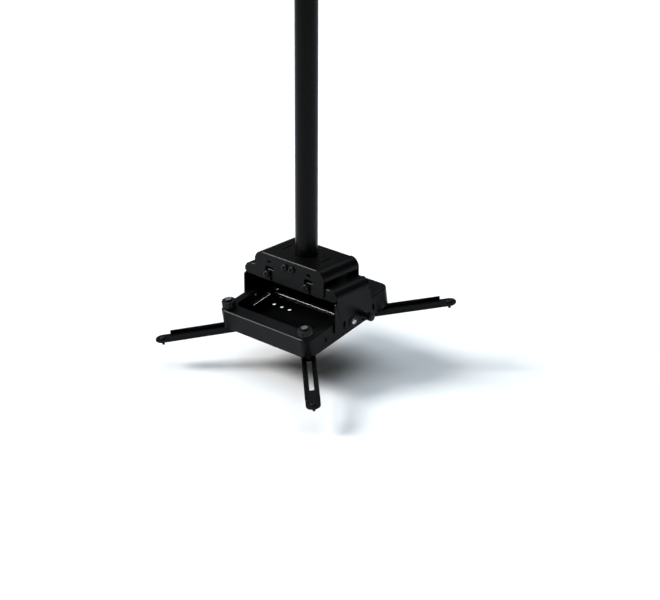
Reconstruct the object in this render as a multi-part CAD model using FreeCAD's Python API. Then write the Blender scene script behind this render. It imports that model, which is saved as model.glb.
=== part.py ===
import FreeCAD
import Part
import math
import os

# Ceiling mount: one pole, a swivelling head, a tilting tray and four slotted arms.
# Millimetres, +Z up, origin at the centre of the ceiling plate's upper face.
# X runs along the tray's front edge, and the front faces -Y.

# Ceiling plate with its welded collar
ceiling_side = 120.0
ceiling_sheet = 4.0
ceiling_corner = 12.0
ceiling_hole = 8.5
ceiling_pitch = 90.0
collar_wall = 6.0
collar_height = 34.0
collar_screw_diameter = 6.0
collar_screw_count = 3

# Pole
pole_diameter = 32.0
pole_wall = 2.0
drop = 425.0

# Upper bracket, measured down from its top face
head_width = 131.5
head_depth = 75.0
head_shoulder = 14.4
head_side_drop = 15.5
head_flange_drop = 40.0
head_flange_corner = 6.0
bracket_sheet = 2.0
fold_radius = 2.5
seam = 0.6
top_slot_length = 18.0
top_slot_width = 2.4
top_slot_margin = 20.5
end_slot_length = 11.0
end_slot_margin = 8.0
flange_slot_length = 8.0
flange_slot_width = 4.0
flange_slot_drop = 11.7

# Hook slots and the screws that hang in them
hook_half_pitch = 37.2
hook_drop = 31.0
hook_rise = 9.0
hook_shift = 9.0
hook_slack = 0.6

# Domed screws: shares of the head's height and width, and of the shank
dome_rim_share = 0.3
dome_crown_share = 0.25
socket_share = 0.66
socket_floor_share = 0.4

# Screws of the brackets
bracket_screw = 6.0
bracket_screw_head = 10.5
bracket_screw_head_height = 3.3
bracket_nut_height = 5.0
bracket_nut_flats = 10.0
screw_end = 1.0
block_screw_half_pitch = 6.8
block_screw_depth = 12.0

# Swivel block and the parts that carry it on the pole
block_wall = 7.0
block_height = 15.0
thrust_washer_height = 1.5
pole_nut_height = 4.0
pole_nut_wall = 6.0

# Yoke
yoke_width = 176.0
yoke_top_drop = 23.5
yoke_shoulder = 12.5
yoke_flange_height = 17.0
yoke_leg_height = 62.5
yoke_leg_depth = 75.0
yoke_leg_corner = 3.0
nest_gap = 0.2

# Tilt pivot and lock
pivot_edge = 8.0
rest_pitch = 9.8
pitch_limit = 11.0
pivot_rod_diameter = 8.0
pivot_spacer_height = 0.5
pivot_spacer_diameter = 18.0
pivot_washer_diameter = 15.0
pivot_washer_height = 1.2
pivot_screw = 4.0
pivot_screw_head = 7.6
pivot_screw_head_height = 2.2
pivot_screw_depth = 12.0
lock_radius = 22.0
spare_slot_radius = 18.5
lock_stud = 4.0
lock_nut_height = 3.2
lock_nut_flats = 7.0
lock_washer_diameter = 11.0
lock_washer_height = 1.0
knob_neck_diameter = 7.5
knob_neck_length = 7.5
knob_head_diameter = 12.0
knob_head_length = 9.0
knob_round = 3.0
knob_engagement = 8.0

# Tray shell and floor, in the tray's own frame: origin at the centre of its top face
tray_depth = 178.0
tray_height = 29.0
tray_corner = 12.5
tray_sheet = 2.0
tray_fold = 2.5
pivot_setback = 3.8
window_side_band = 14.0
window_front_band = 21.0
window_rear_gap = 3.0
window_corner = 10.0
wall_slot_offset = 51.0
wall_slot_length = 10.0
wall_slot_width = 4.0
wall_slot_drop = 17.0
floor_sheet = 2.0
floor_hole = 6.0
floor_hole_count = 3
floor_hole_first = 27.0
floor_hole_pitch = 15.0
floor_hole_setback = -5.6
floor_notch_length = 55.0
floor_notch_depth = 1.9

# Corner clamps
front_inset = 12.0
rear_inset = 36.4
rear_side_inset = 19.4
corner_bolt = 6.0
corner_bolt_head = 14.0
corner_bolt_head_height = 2.2
neck_margin = 0.2
corner_spacer_wall = 2.5
corner_washer_diameter = 20.0
corner_washer_height = 1.2
thumb_flange_height = 1.8
thumb_flange_diameter = 17.0
thumb_head_diameter = 20.4
thumb_head_height = 8.5
thumb_boss_diameter = 10.0
thumb_boss_height = 2.6
thumb_round = 1.2
thumb_boss_round = 0.7
thumb_cover = 2.0
thumb_flutes = 12
thumb_flute_radius = 1.8

# Arms
arm_length = 150.0
arm_width = 20.4
arm_height = 7.5
arm_sheet = 2.0
arm_slot_corner = 1.0
arm_slot_outer_margin = 44.5
arm_slot_inner_margin = 8.0
arm_tab = 22.0
arm_edge = 0.8
arm_angle = 46.5
front_left_angle = 48.0
front_right_angle = 45.0
front_left_tail = 38.0
front_right_tail = 23.0
rear_left_tail = 18.5
rear_right_tail = 18.5

# Screws in the arms' tabs
arm_screw = 4.0
arm_screw_head = 7.6
arm_screw_head_height = 2.4
arm_screw_length = 8.0
arm_screw_shoulder = 0.8

# Clearances, and how far a cutter runs past what it cuts
running_fit = 0.05
slide_gap = 0.1
pole_hole_gap = 0.4
lock_slack = 0.2
neck_slack = 0.15
floor_gap = 0.2
overrun = 1.0
touch = 1e-6

# Places worked out from the sizes above
Vector = FreeCAD.Vector
ALONG = Vector(1, 0, 0)
BACK = Vector(0, 1, 0)
UP = Vector(0, 0, 1)
pole_radius = pole_diameter / 2
yoke_depth = head_depth - 2 * (bracket_sheet + nest_gap)
yoke_inner = yoke_width / 2 - bracket_sheet
tray_half_width = yoke_inner - pivot_spacer_height - 2 * running_fit
tray_inner = tray_half_width - tray_sheet
pivot_drop = yoke_top_drop + yoke_leg_height - pivot_edge
pivot_depth = tray_height / 2
floor_top = -tray_height + floor_sheet
arm_top = -tray_height - slide_gap
arm_floor = arm_top - arm_height
front_corner_x = tray_half_width - front_inset
front_corner_y = -tray_depth / 2 + front_inset
rear_corner_x = tray_half_width - rear_side_inset
rear_corner_y = tray_depth / 2 - rear_inset
neck_side = corner_bolt + neck_margin
arm_slot = neck_side + 2 * neck_slack
tab_shoulder = arm_screw + arm_screw_shoulder
arm_tab_hole = tab_shoulder + 2 * slide_gap
flange_pair = 2 * bracket_sheet + nest_gap
block_half = pole_radius + running_fit + block_wall
block_floor = -bracket_sheet - block_height
thrust_floor = block_floor - slide_gap - thrust_washer_height
pole_end = thrust_floor - pole_nut_height


def rod(start, end, radius):
    """Solid cylinder between two points."""
    run = end - start
    return Part.makeCylinder(radius, run.Length, start, run)


def ring(start, end, outer, inner):
    """Solid tube between two points."""
    return rod(start, end, outer).cut(rod(start, end, inner))


def block(x0, x1, y0, y1, z0, z1):
    """Solid box between the given limits."""
    return Part.makeBox(x1 - x0, y1 - y0, z1 - z0, Vector(x0, y0, z0))


def stadium(start, end, width, run):
    """Prism with a slot-shaped outline around the line start to end, pushed along run."""
    along = (end - start).normalize()
    side = run.cross(along).normalize() * (width / 2)
    tip = along * (width / 2)
    edges = [
        Part.LineSegment(start + side, end + side).toShape(),
        Part.Arc(end + side, end + tip, end - side).toShape(),
        Part.LineSegment(end - side, start - side).toShape(),
        Part.Arc(start - side, start - tip, start + side).toShape(),
    ]
    return Part.Face(Part.Wire(edges)).extrude(run)


def runs_along(edge, axis):
    """Whether a straight edge is parallel to an axis."""
    return edge.tangentAt(edge.FirstParameter).cross(axis).Length < touch


def rounded_plate(x0, x1, y0, y1, z0, z1, corner):
    """Plate between the given limits with its four upright edges rounded."""
    plate = block(x0, x1, y0, y1, z0, z1)
    return plate.makeFillet(corner, [e for e in plate.Edges if runs_along(e, UP)])


def hexagon(flats, z0, z1):
    """Six-sided prism on the Z axis, given its width across flats."""
    reach = flats / math.sqrt(3)
    corners = []
    for k in range(6):
        turn = k * math.pi / 3
        corners.append(Vector(reach * math.cos(turn), reach * math.sin(turn), z0))
    return Part.Face(Part.makePolygon(corners + corners[:1])).extrude(Vector(0, 0, z1 - z0))


def aimed(shape, origin, axis):
    """Copy of a shape made on the Z axis, turned to point along axis and moved to origin."""
    moved = shape.copy()
    moved.Placement = FreeCAD.Placement(origin, FreeCAD.Rotation(UP, axis))
    return moved


def dome_screw(shank, head, height, length):
    """Domed screw with a hexagon socket: seat at Z 0, head above, shank below."""
    rim = height * dome_rim_share
    crown = head * dome_crown_share
    slant = math.sqrt(0.5)
    shoulder = Vector(crown + (head / 2 - crown) * slant, 0, rim + (height - rim) * slant)
    outline = [
        Part.LineSegment(Vector(0, 0, 0), Vector(head / 2, 0, 0)).toShape(),
        Part.LineSegment(Vector(head / 2, 0, 0), Vector(head / 2, 0, rim)).toShape(),
        Part.Arc(Vector(head / 2, 0, rim), shoulder, Vector(crown, 0, height)).toShape(),
        Part.LineSegment(Vector(crown, 0, height), Vector(0, 0, height)).toShape(),
        Part.LineSegment(Vector(0, 0, height), Vector(0, 0, 0)).toShape(),
    ]
    cap = Part.Face(Part.Wire(outline)).revolve(Vector(0, 0, 0), UP, 360)
    socket = hexagon(shank * socket_share, height * socket_floor_share, height + overrun)
    body = rod(Vector(0, 0, -length), Vector(0, 0, 0), shank / 2)
    return cap.cut(socket).fuse(body).removeSplitter()


def hex_nut(flats, height, bore):
    """Hexagon nut on the Z axis, from Z 0 to its height."""
    return hexagon(flats, 0, height).cut(rod(UP * -overrun, UP * (height + overrun), bore / 2))


def channel(width, radius, wall_drop, half_depth):
    """Upturned sheet channel with rounded shoulders, its top face at Z 0, running along Y."""
    half = width / 2
    sheet = bracket_sheet
    inner = radius - sheet
    slant = math.sqrt(0.5)
    y = -half_depth
    left = -half + radius
    right = half - radius

    def at(x, z):
        return Vector(x, y, z)

    edges = [
        Part.LineSegment(at(-half, -wall_drop), at(-half, -radius)).toShape(),
        Part.Arc(
            at(-half, -radius), at(left - radius * slant, -radius + radius * slant), at(left, 0)
        ).toShape(),
        Part.LineSegment(at(left, 0), at(right, 0)).toShape(),
        Part.Arc(
            at(right, 0), at(right + radius * slant, -radius + radius * slant), at(half, -radius)
        ).toShape(),
        Part.LineSegment(at(half, -radius), at(half, -wall_drop)).toShape(),
        Part.LineSegment(at(half, -wall_drop), at(half - sheet, -wall_drop)).toShape(),
        Part.LineSegment(at(half - sheet, -wall_drop), at(half - sheet, -radius)).toShape(),
        Part.Arc(
            at(half - sheet, -radius), at(right + inner * slant, -radius + inner * slant), at(right, -sheet)
        ).toShape(),
        Part.LineSegment(at(right, -sheet), at(left, -sheet)).toShape(),
        Part.Arc(
            at(left, -sheet), at(left - inner * slant, -radius + inner * slant), at(-half + sheet, -radius)
        ).toShape(),
        Part.LineSegment(at(-half + sheet, -radius), at(-half + sheet, -wall_drop)).toShape(),
        Part.LineSegment(at(-half + sheet, -wall_drop), at(-half, -wall_drop)).toShape(),
    ]
    return Part.Face(Part.Wire(edges)).extrude(Vector(0, 2 * half_depth, 0))


def lies_across(edge, level):
    """Whether an edge runs along Y at the given height."""
    return runs_along(edge, BACK) and abs(edge.CenterOfMass.z - level) < touch


def flange(width, radius, flange_drop, corner, half_depth, sign):
    """End flange of a bracket with its fold: it follows the shoulders and hangs from the flat of the top."""
    half = width / 2
    flat = half - radius
    outer = sign * half_depth
    inner = sign * (half_depth - bracket_sheet)
    low, high = min(outer, inner), max(outer, inner)
    panel = block(-half, half, low, high, -flange_drop, 0)
    for level, round_by in ((0, radius), (-flange_drop, corner)):
        panel = panel.makeFillet(round_by, [e for e in panel.Edges if lies_across(e, level)])
    panel = panel.cut(block(-flat, flat, low - overrun, high + overrun, -fold_radius, overrun))

    def at(y_in, z):
        return Vector(-flat, sign * (half_depth - y_in), z)

    bend = fold_radius
    tight = bend - bracket_sheet
    slant = math.sqrt(0.5)
    overlap = bracket_sheet + seam + overrun
    edges = [
        Part.LineSegment(at(bend + overlap, 0), at(bend, 0)).toShape(),
        Part.Arc(at(bend, 0), at(bend - bend * slant, -bend + bend * slant), at(0, -bend)).toShape(),
        Part.LineSegment(at(0, -bend), at(bracket_sheet, -bend)).toShape(),
        Part.Arc(
            at(bracket_sheet, -bend),
            at(bend - tight * slant, -bend + tight * slant),
            at(bend, -bracket_sheet),
        ).toShape(),
        Part.LineSegment(at(bend, -bracket_sheet), at(bend + overlap, -bracket_sheet)).toShape(),
        Part.LineSegment(at(bend + overlap, -bracket_sheet), at(bend + overlap, 0)).toShape(),
    ]
    fold = Part.Face(Part.Wire(edges)).extrude(Vector(2 * flat, 0, 0))
    return panel.fuse(fold)


def folded_cover(width, depth, radius, side_drop, flange_drop, corner):
    """Folded sheet cover: a channel with rounded shoulders and a flange at its front and rear."""
    body = channel(width, radius, side_drop, depth / 2 - bracket_sheet - seam)
    flat = width / 2 - radius
    tongue = depth / 2 - fold_radius
    body = body.fuse(block(-flat, flat, -tongue, tongue, -bracket_sheet, 0))
    for sign in (-1, 1):
        body = body.fuse(flange(width, radius, flange_drop, corner, depth / 2, sign))
    return body.removeSplitter()


def ceiling_plate():
    """Square plate with screw holes and a welded collar that takes the pole."""
    half = ceiling_side / 2
    plate = rounded_plate(-half, half, -half, half, -ceiling_sheet, 0, ceiling_corner)
    bore = pole_radius + running_fit
    collar = ring(
        Vector(0, 0, -ceiling_sheet - collar_height), Vector(0, 0, -ceiling_sheet), bore + collar_wall, bore
    )
    plate = plate.fuse(collar)
    for x in (-ceiling_pitch / 2, ceiling_pitch / 2):
        for y in (-ceiling_pitch / 2, ceiling_pitch / 2):
            low = Vector(x, y, -ceiling_sheet - overrun)
            plate = plate.cut(rod(low, Vector(x, y, overrun), ceiling_hole / 2))
    for start, axis in collar_screw_places():
        end = start + axis * (collar_wall + running_fit + overrun)
        plate = plate.cut(rod(start, end, collar_screw_diameter / 2 + running_fit))
    return plate.removeSplitter()


def collar_screw_places():
    """Inner end and outward direction of each set screw in the collar."""
    places = []
    for k in range(collar_screw_count):
        turn = math.radians(90 + 360 * k / collar_screw_count)
        axis = Vector(math.cos(turn), math.sin(turn), 0)
        level = Vector(0, 0, -ceiling_sheet - collar_height / 2)
        places.append((level + axis * pole_radius, axis))
    return places


def collar_screws():
    """Set screws that hold the pole in the collar."""
    screws = []
    for start, axis in collar_screw_places():
        seat = start + axis * running_fit
        screw = rod(seat, seat + axis * collar_wall, collar_screw_diameter / 2)
        socket = hexagon(collar_screw_diameter / 2, 0, collar_wall)
        screws.append(screw.cut(aimed(socket, seat + axis * (collar_wall / 2), axis)))
    return Part.makeCompound(screws)


def pole():
    """Plain round tube from the ceiling plate to the ring nut."""
    low = Vector(0, 0, -drop + pole_end)
    return ring(low, Vector(0, 0, -ceiling_sheet), pole_radius, pole_radius - pole_wall)


def pole_nut():
    """Ring nut on the pole's lower end, with four spanner notches."""
    bore = pole_radius + running_fit
    nut = ring(Vector(0, 0, -drop + pole_end), Vector(0, 0, -drop + thrust_floor), bore + pole_nut_wall, bore)
    notch = pole_nut_wall / 2
    for k in range(4):
        outside = bore + pole_nut_wall + overrun
        cutter = block(bore + notch, outside, -notch, notch, pole_end - overrun, thrust_floor + overrun)
        cutter.rotate(Vector(0, 0, 0), UP, 45 + 90 * k)
        nut = nut.cut(cutter.translated(Vector(0, 0, -drop)))
    return nut


def thrust_washer():
    """Washer on which the swivel block turns."""
    bore = pole_radius + running_fit
    low = Vector(0, 0, -drop + thrust_floor)
    return ring(low, low + UP * thrust_washer_height, bore + pole_nut_wall, bore)


def hook_slot(x, sign):
    """Cutter for a hook slot: in from below, across, and down to the seat."""
    y = sign * (head_depth / 2 + overrun)
    run = Vector(0, -sign * (bracket_sheet + 2 * overrun), 0)
    width = bracket_screw + hook_slack
    seat = Vector(x - hook_shift / 2, y, -hook_drop + hook_slack / 2)
    over = seat + UP * hook_rise
    across = over + Vector(hook_shift, 0, 0)
    mouth = Vector(across.x, y, -head_flange_drop - width)
    path = [(seat, over), (over, across), (across, mouth)]
    cutter = stadium(path[0][0], path[0][1], width, run)
    for start, end in path[1:]:
        cutter = cutter.fuse(stadium(start, end, width, run))
    return cutter


def upper_bracket():
    """Folded head bracket with the pole's hole, slots in its top and hook slots in its flanges."""
    body = folded_cover(
        head_width, head_depth, head_shoulder, head_side_drop, head_flange_drop, head_flange_corner
    )
    low = Vector(0, 0, -bracket_sheet - overrun)
    body = body.cut(rod(low, UP * overrun, pole_radius + pole_hole_gap))
    deep = Vector(0, 0, bracket_sheet + 2 * overrun)
    slot_x = pole_radius + top_slot_margin
    slot_y = pole_radius + end_slot_margin
    run = (top_slot_length - top_slot_width) / 2
    short = (end_slot_length - top_slot_width) / 2
    for sign in (-1, 1):
        for centre, reach in (
            (Vector(sign * slot_x, 0, 0), Vector(0, run, 0)),
            (Vector(0, sign * slot_y, 0), Vector(short, 0, 0)),
        ):
            body = body.cut(stadium(low + centre - reach, low + centre + reach, top_slot_width, deep))
        outside = sign * (head_depth / 2 + overrun)
        through = Vector(0, -sign * (bracket_sheet + 2 * overrun), 0)
        half = (flange_slot_length - flange_slot_width) / 2
        for x in (-hook_half_pitch, hook_half_pitch):
            middle = Vector(x, outside, -flange_slot_drop)
            reach = Vector(half, 0, 0)
            body = body.cut(stadium(middle - reach, middle + reach, flange_slot_width, through))
            body = body.cut(hook_slot(x, sign))
        for x in (-block_screw_half_pitch, block_screw_half_pitch):
            start = Vector(x, outside, -flange_slot_drop)
            body = body.cut(rod(start, start + through, bracket_screw / 2 + running_fit))
    return body.removeSplitter()


def pole_block():
    """Swivel block between the flanges, with the pole's bore and tapped holes."""
    half_depth = head_depth / 2 - bracket_sheet
    body = block(-block_half, block_half, -half_depth, half_depth, block_floor, -bracket_sheet)
    body = body.cut(rod(UP * (block_floor - overrun), Vector(0, 0, 0), pole_radius + running_fit))
    for sign in (-1, 1):
        for x in (-block_screw_half_pitch, block_screw_half_pitch):
            start = Vector(x, sign * (half_depth + overrun), -flange_slot_drop)
            end = start - Vector(0, sign * (block_screw_depth + 2 * overrun), 0)
            body = body.cut(rod(start, end, bracket_screw / 2 + running_fit))
    return body


def block_screws():
    """Domed screws through the flanges' centre into the swivel block."""
    screw = dome_screw(
        bracket_screw, bracket_screw_head, bracket_screw_head_height, bracket_sheet + block_screw_depth
    )
    placed = []
    for sign in (-1, 1):
        for x in (-block_screw_half_pitch, block_screw_half_pitch):
            seat = Vector(x, sign * head_depth / 2, -flange_slot_drop)
            placed.append(aimed(screw, seat, Vector(0, sign, 0)))
    return Part.makeCompound(placed)


def hook_seats():
    """Seat and outward direction of each hook screw, on the upper bracket's flanges."""
    seats = []
    for sign in (-1, 1):
        for x in (-hook_half_pitch, hook_half_pitch):
            seat = Vector(x - hook_shift / 2, sign * head_depth / 2, -hook_drop)
            seats.append((seat, Vector(0, sign, 0)))
    return seats


def hook_screws():
    """Domed screws of the yoke, hanging in the hook slots."""
    length = flange_pair + bracket_nut_height + screw_end
    screw = dome_screw(bracket_screw, bracket_screw_head, bracket_screw_head_height, length)
    return Part.makeCompound([aimed(screw, seat, axis) for seat, axis in hook_seats()])


def hook_nuts():
    """Nuts of the hook screws, on the inside of the yoke's flanges."""
    nut = hex_nut(bracket_nut_flats, bracket_nut_height, bracket_screw + 2 * running_fit)
    inward = flange_pair + bracket_nut_height
    return Part.makeCompound([aimed(nut, seat - axis * inward, axis) for seat, axis in hook_seats()])


def yoke():
    """Folded yoke: its flanges nest behind the upper bracket's, and its legs carry the tilt pivot."""
    flange_drop = yoke_flange_height
    body = folded_cover(
        yoke_width, yoke_depth, yoke_shoulder, yoke_leg_height, flange_drop, head_flange_corner
    )
    leg_top = -flange_drop - seam
    for sign in (-1, 1):
        x0 = sign * yoke_inner
        x1 = sign * yoke_width / 2
        half = yoke_leg_depth / 2
        leg = block(min(x0, x1), max(x0, x1), -half, half, -yoke_leg_height, leg_top)
        edges = [e for e in leg.Edges if runs_along(e, ALONG)]
        body = body.fuse(leg.makeFillet(yoke_leg_corner, edges))
    body.translate(Vector(0, 0, -yoke_top_drop))
    for seat, axis in hook_seats():
        body = body.cut(rod(seat, seat - axis * (flange_pair + overrun), bracket_screw / 2 + running_fit))
    outside = yoke_width / 2 + overrun
    pivot = Vector(0, 0, -pivot_drop)
    across = Vector(outside, 0, 0)
    body = body.cut(rod(pivot - across, pivot + across, pivot_rod_diameter / 2 + running_fit))
    for facing, radius in ((0, lock_radius), (180, spare_slot_radius)):
        body = body.cut(lock_slot(facing, radius))
    return body.removeSplitter()


def lock_slot(facing, radius):
    """Cutter for the curved lock slots of both legs, in front of or behind the pivot."""
    width = lock_stud + 2 * lock_slack
    outside = yoke_width / 2 + overrun
    outer = rod(Vector(-outside, 0, 0), Vector(outside, 0, 0), radius + width / 2)
    inner = rod(Vector(-outside, 0, 0), Vector(outside, 0, 0), radius - width / 2)
    reach = 2 * radius
    spread = math.tan(math.radians(pitch_limit)) * reach
    corners = [Vector(-outside, 0, 0), Vector(-outside, reach, -spread), Vector(-outside, reach, spread)]
    wedge = Part.Face(Part.makePolygon(corners + corners[:1])).extrude(Vector(2 * outside, 0, 0))
    slot = outer.cut(inner).common(wedge)
    for turn in (-pitch_limit, pitch_limit):
        y = radius * math.cos(math.radians(turn))
        z = radius * math.sin(math.radians(turn))
        slot = slot.fuse(rod(Vector(-outside, y, z), Vector(outside, y, z), width / 2))
    slot.rotate(Vector(0, 0, 0), UP, facing)
    slot.translate(Vector(0, 0, -pivot_drop))
    return slot


def lock_places():
    """Outer wall point and outward direction of each lock stud, in the tray's frame."""
    y = pivot_setback + lock_radius
    return [(Vector(side * tray_half_width, y, -pivot_depth), Vector(side, 0, 0)) for side in (-1, 1)]


def corner_places():
    """Corner name and bolt centre in the tray's frame, in plan."""
    return {
        "front_left": Vector(-front_corner_x, front_corner_y, 0),
        "front_right": Vector(front_corner_x, front_corner_y, 0),
        "rear_left": Vector(-rear_corner_x, rear_corner_y, 0),
        "rear_right": Vector(rear_corner_x, rear_corner_y, 0),
    }


def tray_shell():
    """Pressed pan, open below, with a window in its top and two slots in its right wall."""
    half = tray_depth / 2
    body = rounded_plate(-tray_half_width, tray_half_width, -half, half, -tray_height, 0, tray_corner)
    top_edges = [e for e in body.Edges if abs(e.BoundBox.ZMin) < touch and abs(e.BoundBox.ZMax) < touch]
    body = body.makeFillet(tray_fold, top_edges)
    hollow = rounded_plate(
        -tray_inner,
        tray_inner,
        -half + tray_sheet,
        half - tray_sheet,
        -tray_height - overrun,
        -tray_sheet,
        tray_corner - tray_sheet,
    )
    body = body.cut(hollow)
    window_rear = rear_corner_y - corner_washer_diameter / 2 - window_rear_gap
    window_half = tray_half_width - window_side_band
    window_front = -half + window_front_band
    window = rounded_plate(
        -window_half, window_half, window_front, window_rear, -tray_sheet - overrun, overrun, window_corner
    )
    body = body.cut(window)
    for place in corner_places().values():
        low = place - UP * (tray_sheet + overrun)
        body = body.cut(rod(low, place + UP * overrun, corner_bolt / 2 + running_fit))
    outside = tray_half_width + overrun
    across = Vector(2 * outside, 0, 0)
    pivot = Vector(-outside, pivot_setback, -pivot_depth)
    body = body.cut(rod(pivot, pivot + across, pivot_rod_diameter / 2 + running_fit))
    for sign, radius in ((-1, spare_slot_radius), (1, lock_radius)):
        stud = pivot + Vector(0, sign * radius, 0)
        body = body.cut(rod(stud, stud + across, lock_stud / 2 + running_fit))
        run = Vector(0, 0, (wall_slot_length - wall_slot_width) / 2)
        middle = Vector(0, sign * wall_slot_offset, -wall_slot_drop)
        body = body.cut(stadium(middle - run, middle + run, wall_slot_width, across / 2))
    return body.removeSplitter()


def tray_floor():
    """Flat plate inside the foot of the tray's walls, with the corner holes and a row of holes on its left."""
    x = tray_inner - floor_gap
    y = tray_depth / 2 - tray_sheet - floor_gap
    corner = tray_corner - tray_sheet - floor_gap
    body = rounded_plate(-x, x, -y, y, -tray_height, floor_top, corner)
    low = -tray_height - overrun
    for place in corner_places().values():
        body = body.cut(rod(place + UP * low, place, corner_bolt / 2 + running_fit))
    for k in range(floor_hole_count):
        foot = Vector(-floor_hole_first - k * floor_hole_pitch, floor_hole_setback, low)
        body = body.cut(rod(foot, foot + UP * (floor_sheet + 2 * overrun), floor_hole / 2))
    for side in (-1, 1):
        inner = side * (x - floor_notch_depth)
        outer = side * (x + overrun)
        notch = block(
            min(inner, outer),
            max(inner, outer),
            pivot_setback - floor_notch_length / 2,
            pivot_setback + floor_notch_length / 2,
            low,
            floor_top + overrun,
        )
        body = body.cut(notch)
    return body


def corner_spacers():
    """Tubes around the corner bolts, between the floor and the tray's top."""
    bore = corner_bolt / 2 + running_fit
    tubes = []
    for place in corner_places().values():
        low = place + UP * floor_top
        tubes.append(ring(low, place - UP * tray_sheet, bore + corner_spacer_wall, bore))
    return Part.makeCompound(tubes)


def corner_washers():
    """Washers under the thumb nuts."""
    bore = corner_bolt / 2 + running_fit
    placed = []
    for place in corner_places().values():
        placed.append(ring(place, place + UP * corner_washer_height, corner_washer_diameter / 2, bore))
    return Part.makeCompound(placed)


def pivot_rod():
    """Rod through both walls and legs, tapped at its ends."""
    end = yoke_width / 2 + slide_gap
    start = Vector(-end, pivot_setback, -pivot_depth)
    finish = Vector(end, pivot_setback, -pivot_depth)
    body = rod(start, finish, pivot_rod_diameter / 2)
    for tip, inward in ((start, Vector(1, 0, 0)), (finish, Vector(-1, 0, 0))):
        body = body.cut(rod(tip, tip + inward * (pivot_screw_depth + overrun), pivot_screw / 2 + running_fit))
    return body


def pivot_spacers():
    """Thin washers on the rod, between each wall and its leg."""
    placed = []
    bore = pivot_rod_diameter / 2 + running_fit
    for side in (-1, 1):
        start = Vector(side * (tray_half_width + running_fit), pivot_setback, -pivot_depth)
        end = start + Vector(side * pivot_spacer_height, 0, 0)
        placed.append(ring(start, end, pivot_spacer_diameter / 2, bore))
    return Part.makeCompound(placed)


def pivot_washers():
    """Washers on the rod's ends, outside the legs."""
    placed = []
    for side in (-1, 1):
        start = Vector(side * (yoke_width / 2 + slide_gap), pivot_setback, -pivot_depth)
        end = start + Vector(side * pivot_washer_height, 0, 0)
        placed.append(ring(start, end, pivot_washer_diameter / 2, pivot_screw / 2 + running_fit))
    return Part.makeCompound(placed)


def pivot_screws():
    """Domed screws in the rod's ends."""
    screw = dome_screw(
        pivot_screw, pivot_screw_head, pivot_screw_head_height, pivot_washer_height + pivot_screw_depth
    )
    placed = []
    for side in (-1, 1):
        seat = Vector(
            side * (yoke_width / 2 + slide_gap + pivot_washer_height), pivot_setback, -pivot_depth
        )
        placed.append(aimed(screw, seat, Vector(side, 0, 0)))
    return Part.makeCompound(placed)


def lock_washer_seat():
    """Distance from a tray wall's outer face to the lock washer's inner face."""
    return yoke_width / 2 + slide_gap - tray_half_width


def lock_studs():
    """Studs that pass through the walls and the legs' lock slots."""
    studs = []
    outward = lock_washer_seat() + lock_washer_height + knob_engagement
    for place, axis in lock_places():
        inner = place - axis * (tray_sheet + lock_nut_height)
        studs.append(rod(inner, place + axis * outward, lock_stud / 2))
    return Part.makeCompound(studs)


def lock_nuts():
    """Nuts welded inside the walls, which hold the studs."""
    nut = hex_nut(lock_nut_flats, lock_nut_height, lock_stud + 2 * running_fit)
    placed = []
    for place, axis in lock_places():
        placed.append(aimed(nut, place - axis * (tray_sheet + lock_nut_height), axis))
    return Part.makeCompound(placed)


def lock_washers():
    """Washers between the legs and the knobs."""
    placed = []
    for place, axis in lock_places():
        start = place + axis * lock_washer_seat()
        end = start + axis * lock_washer_height
        placed.append(ring(start, end, lock_washer_diameter / 2, lock_stud / 2 + running_fit))
    return Part.makeCompound(placed)


def lock_knob(place, axis):
    """Turned knob on a lock stud: a plain neck and a rounded head."""
    length = knob_neck_length + knob_head_length
    neck = rod(Vector(0, 0, 0), UP * knob_neck_length, knob_neck_diameter / 2)
    head = rod(UP * knob_neck_length, UP * length, knob_head_diameter / 2)
    head = head.makeFillet(knob_round, [e for e in head.Edges if isinstance(e.Curve, Part.Circle)])
    bore = rod(UP * -overrun, UP * (knob_engagement + overrun), lock_stud / 2 + running_fit)
    body = neck.fuse(head).cut(bore)
    seat = place + axis * (lock_washer_seat() + lock_washer_height + slide_gap)
    return aimed(body.removeSplitter(), seat, axis)


def corner_clamp_bolt(place):
    """Bolt with a flat head and a square neck for the arm's slot."""
    under = arm_floor - slide_gap
    top = corner_washer_height + thumb_flange_height + thumb_head_height - thumb_cover
    head = rod(place + UP * (under - corner_bolt_head_height), place + UP * under, corner_bolt_head / 2)
    side = neck_side / 2
    neck_top = arm_floor + arm_sheet
    neck = block(-side, side, -side, side, under, neck_top)
    neck.translate(place)
    shank = rod(place + UP * under, place + UP * top, corner_bolt / 2)
    return head.fuse(neck).fuse(shank).removeSplitter()


def thumb_nut(place):
    """Fluted nut with a narrow flange below and a small boss on its closed top."""
    seat = corner_washer_height + slide_gap
    flange_top = seat + thumb_flange_height
    head_top = flange_top + thumb_head_height
    body = rod(UP * seat, UP * flange_top, thumb_flange_diameter / 2)
    head = rod(UP * flange_top, UP * head_top, thumb_head_diameter / 2)
    rim = [e for e in head.Edges if abs(e.BoundBox.ZMin - head_top) < touch]
    head = head.makeFillet(thumb_round, rim)
    for k in range(thumb_flutes):
        turn = 2 * math.pi * k / thumb_flutes
        out = Vector(math.cos(turn), math.sin(turn), 0) * (thumb_head_diameter / 2 + thumb_flute_radius / 2)
        head = head.cut(rod(out + UP * flange_top, out + UP * (head_top + overrun), thumb_flute_radius))
    boss_top = head_top + thumb_boss_height
    boss = rod(UP * head_top, UP * boss_top, thumb_boss_diameter / 2)
    rim = [e for e in boss.Edges if abs(e.BoundBox.ZMin - boss_top) < touch]
    body = body.fuse(head).fuse(boss.makeFillet(thumb_boss_round, rim))
    bore_top = head_top - thumb_cover + slide_gap
    body = body.cut(rod(UP * (seat - overrun), UP * bore_top, corner_bolt / 2 + running_fit))
    return body.removeSplitter().translated(place)


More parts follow.
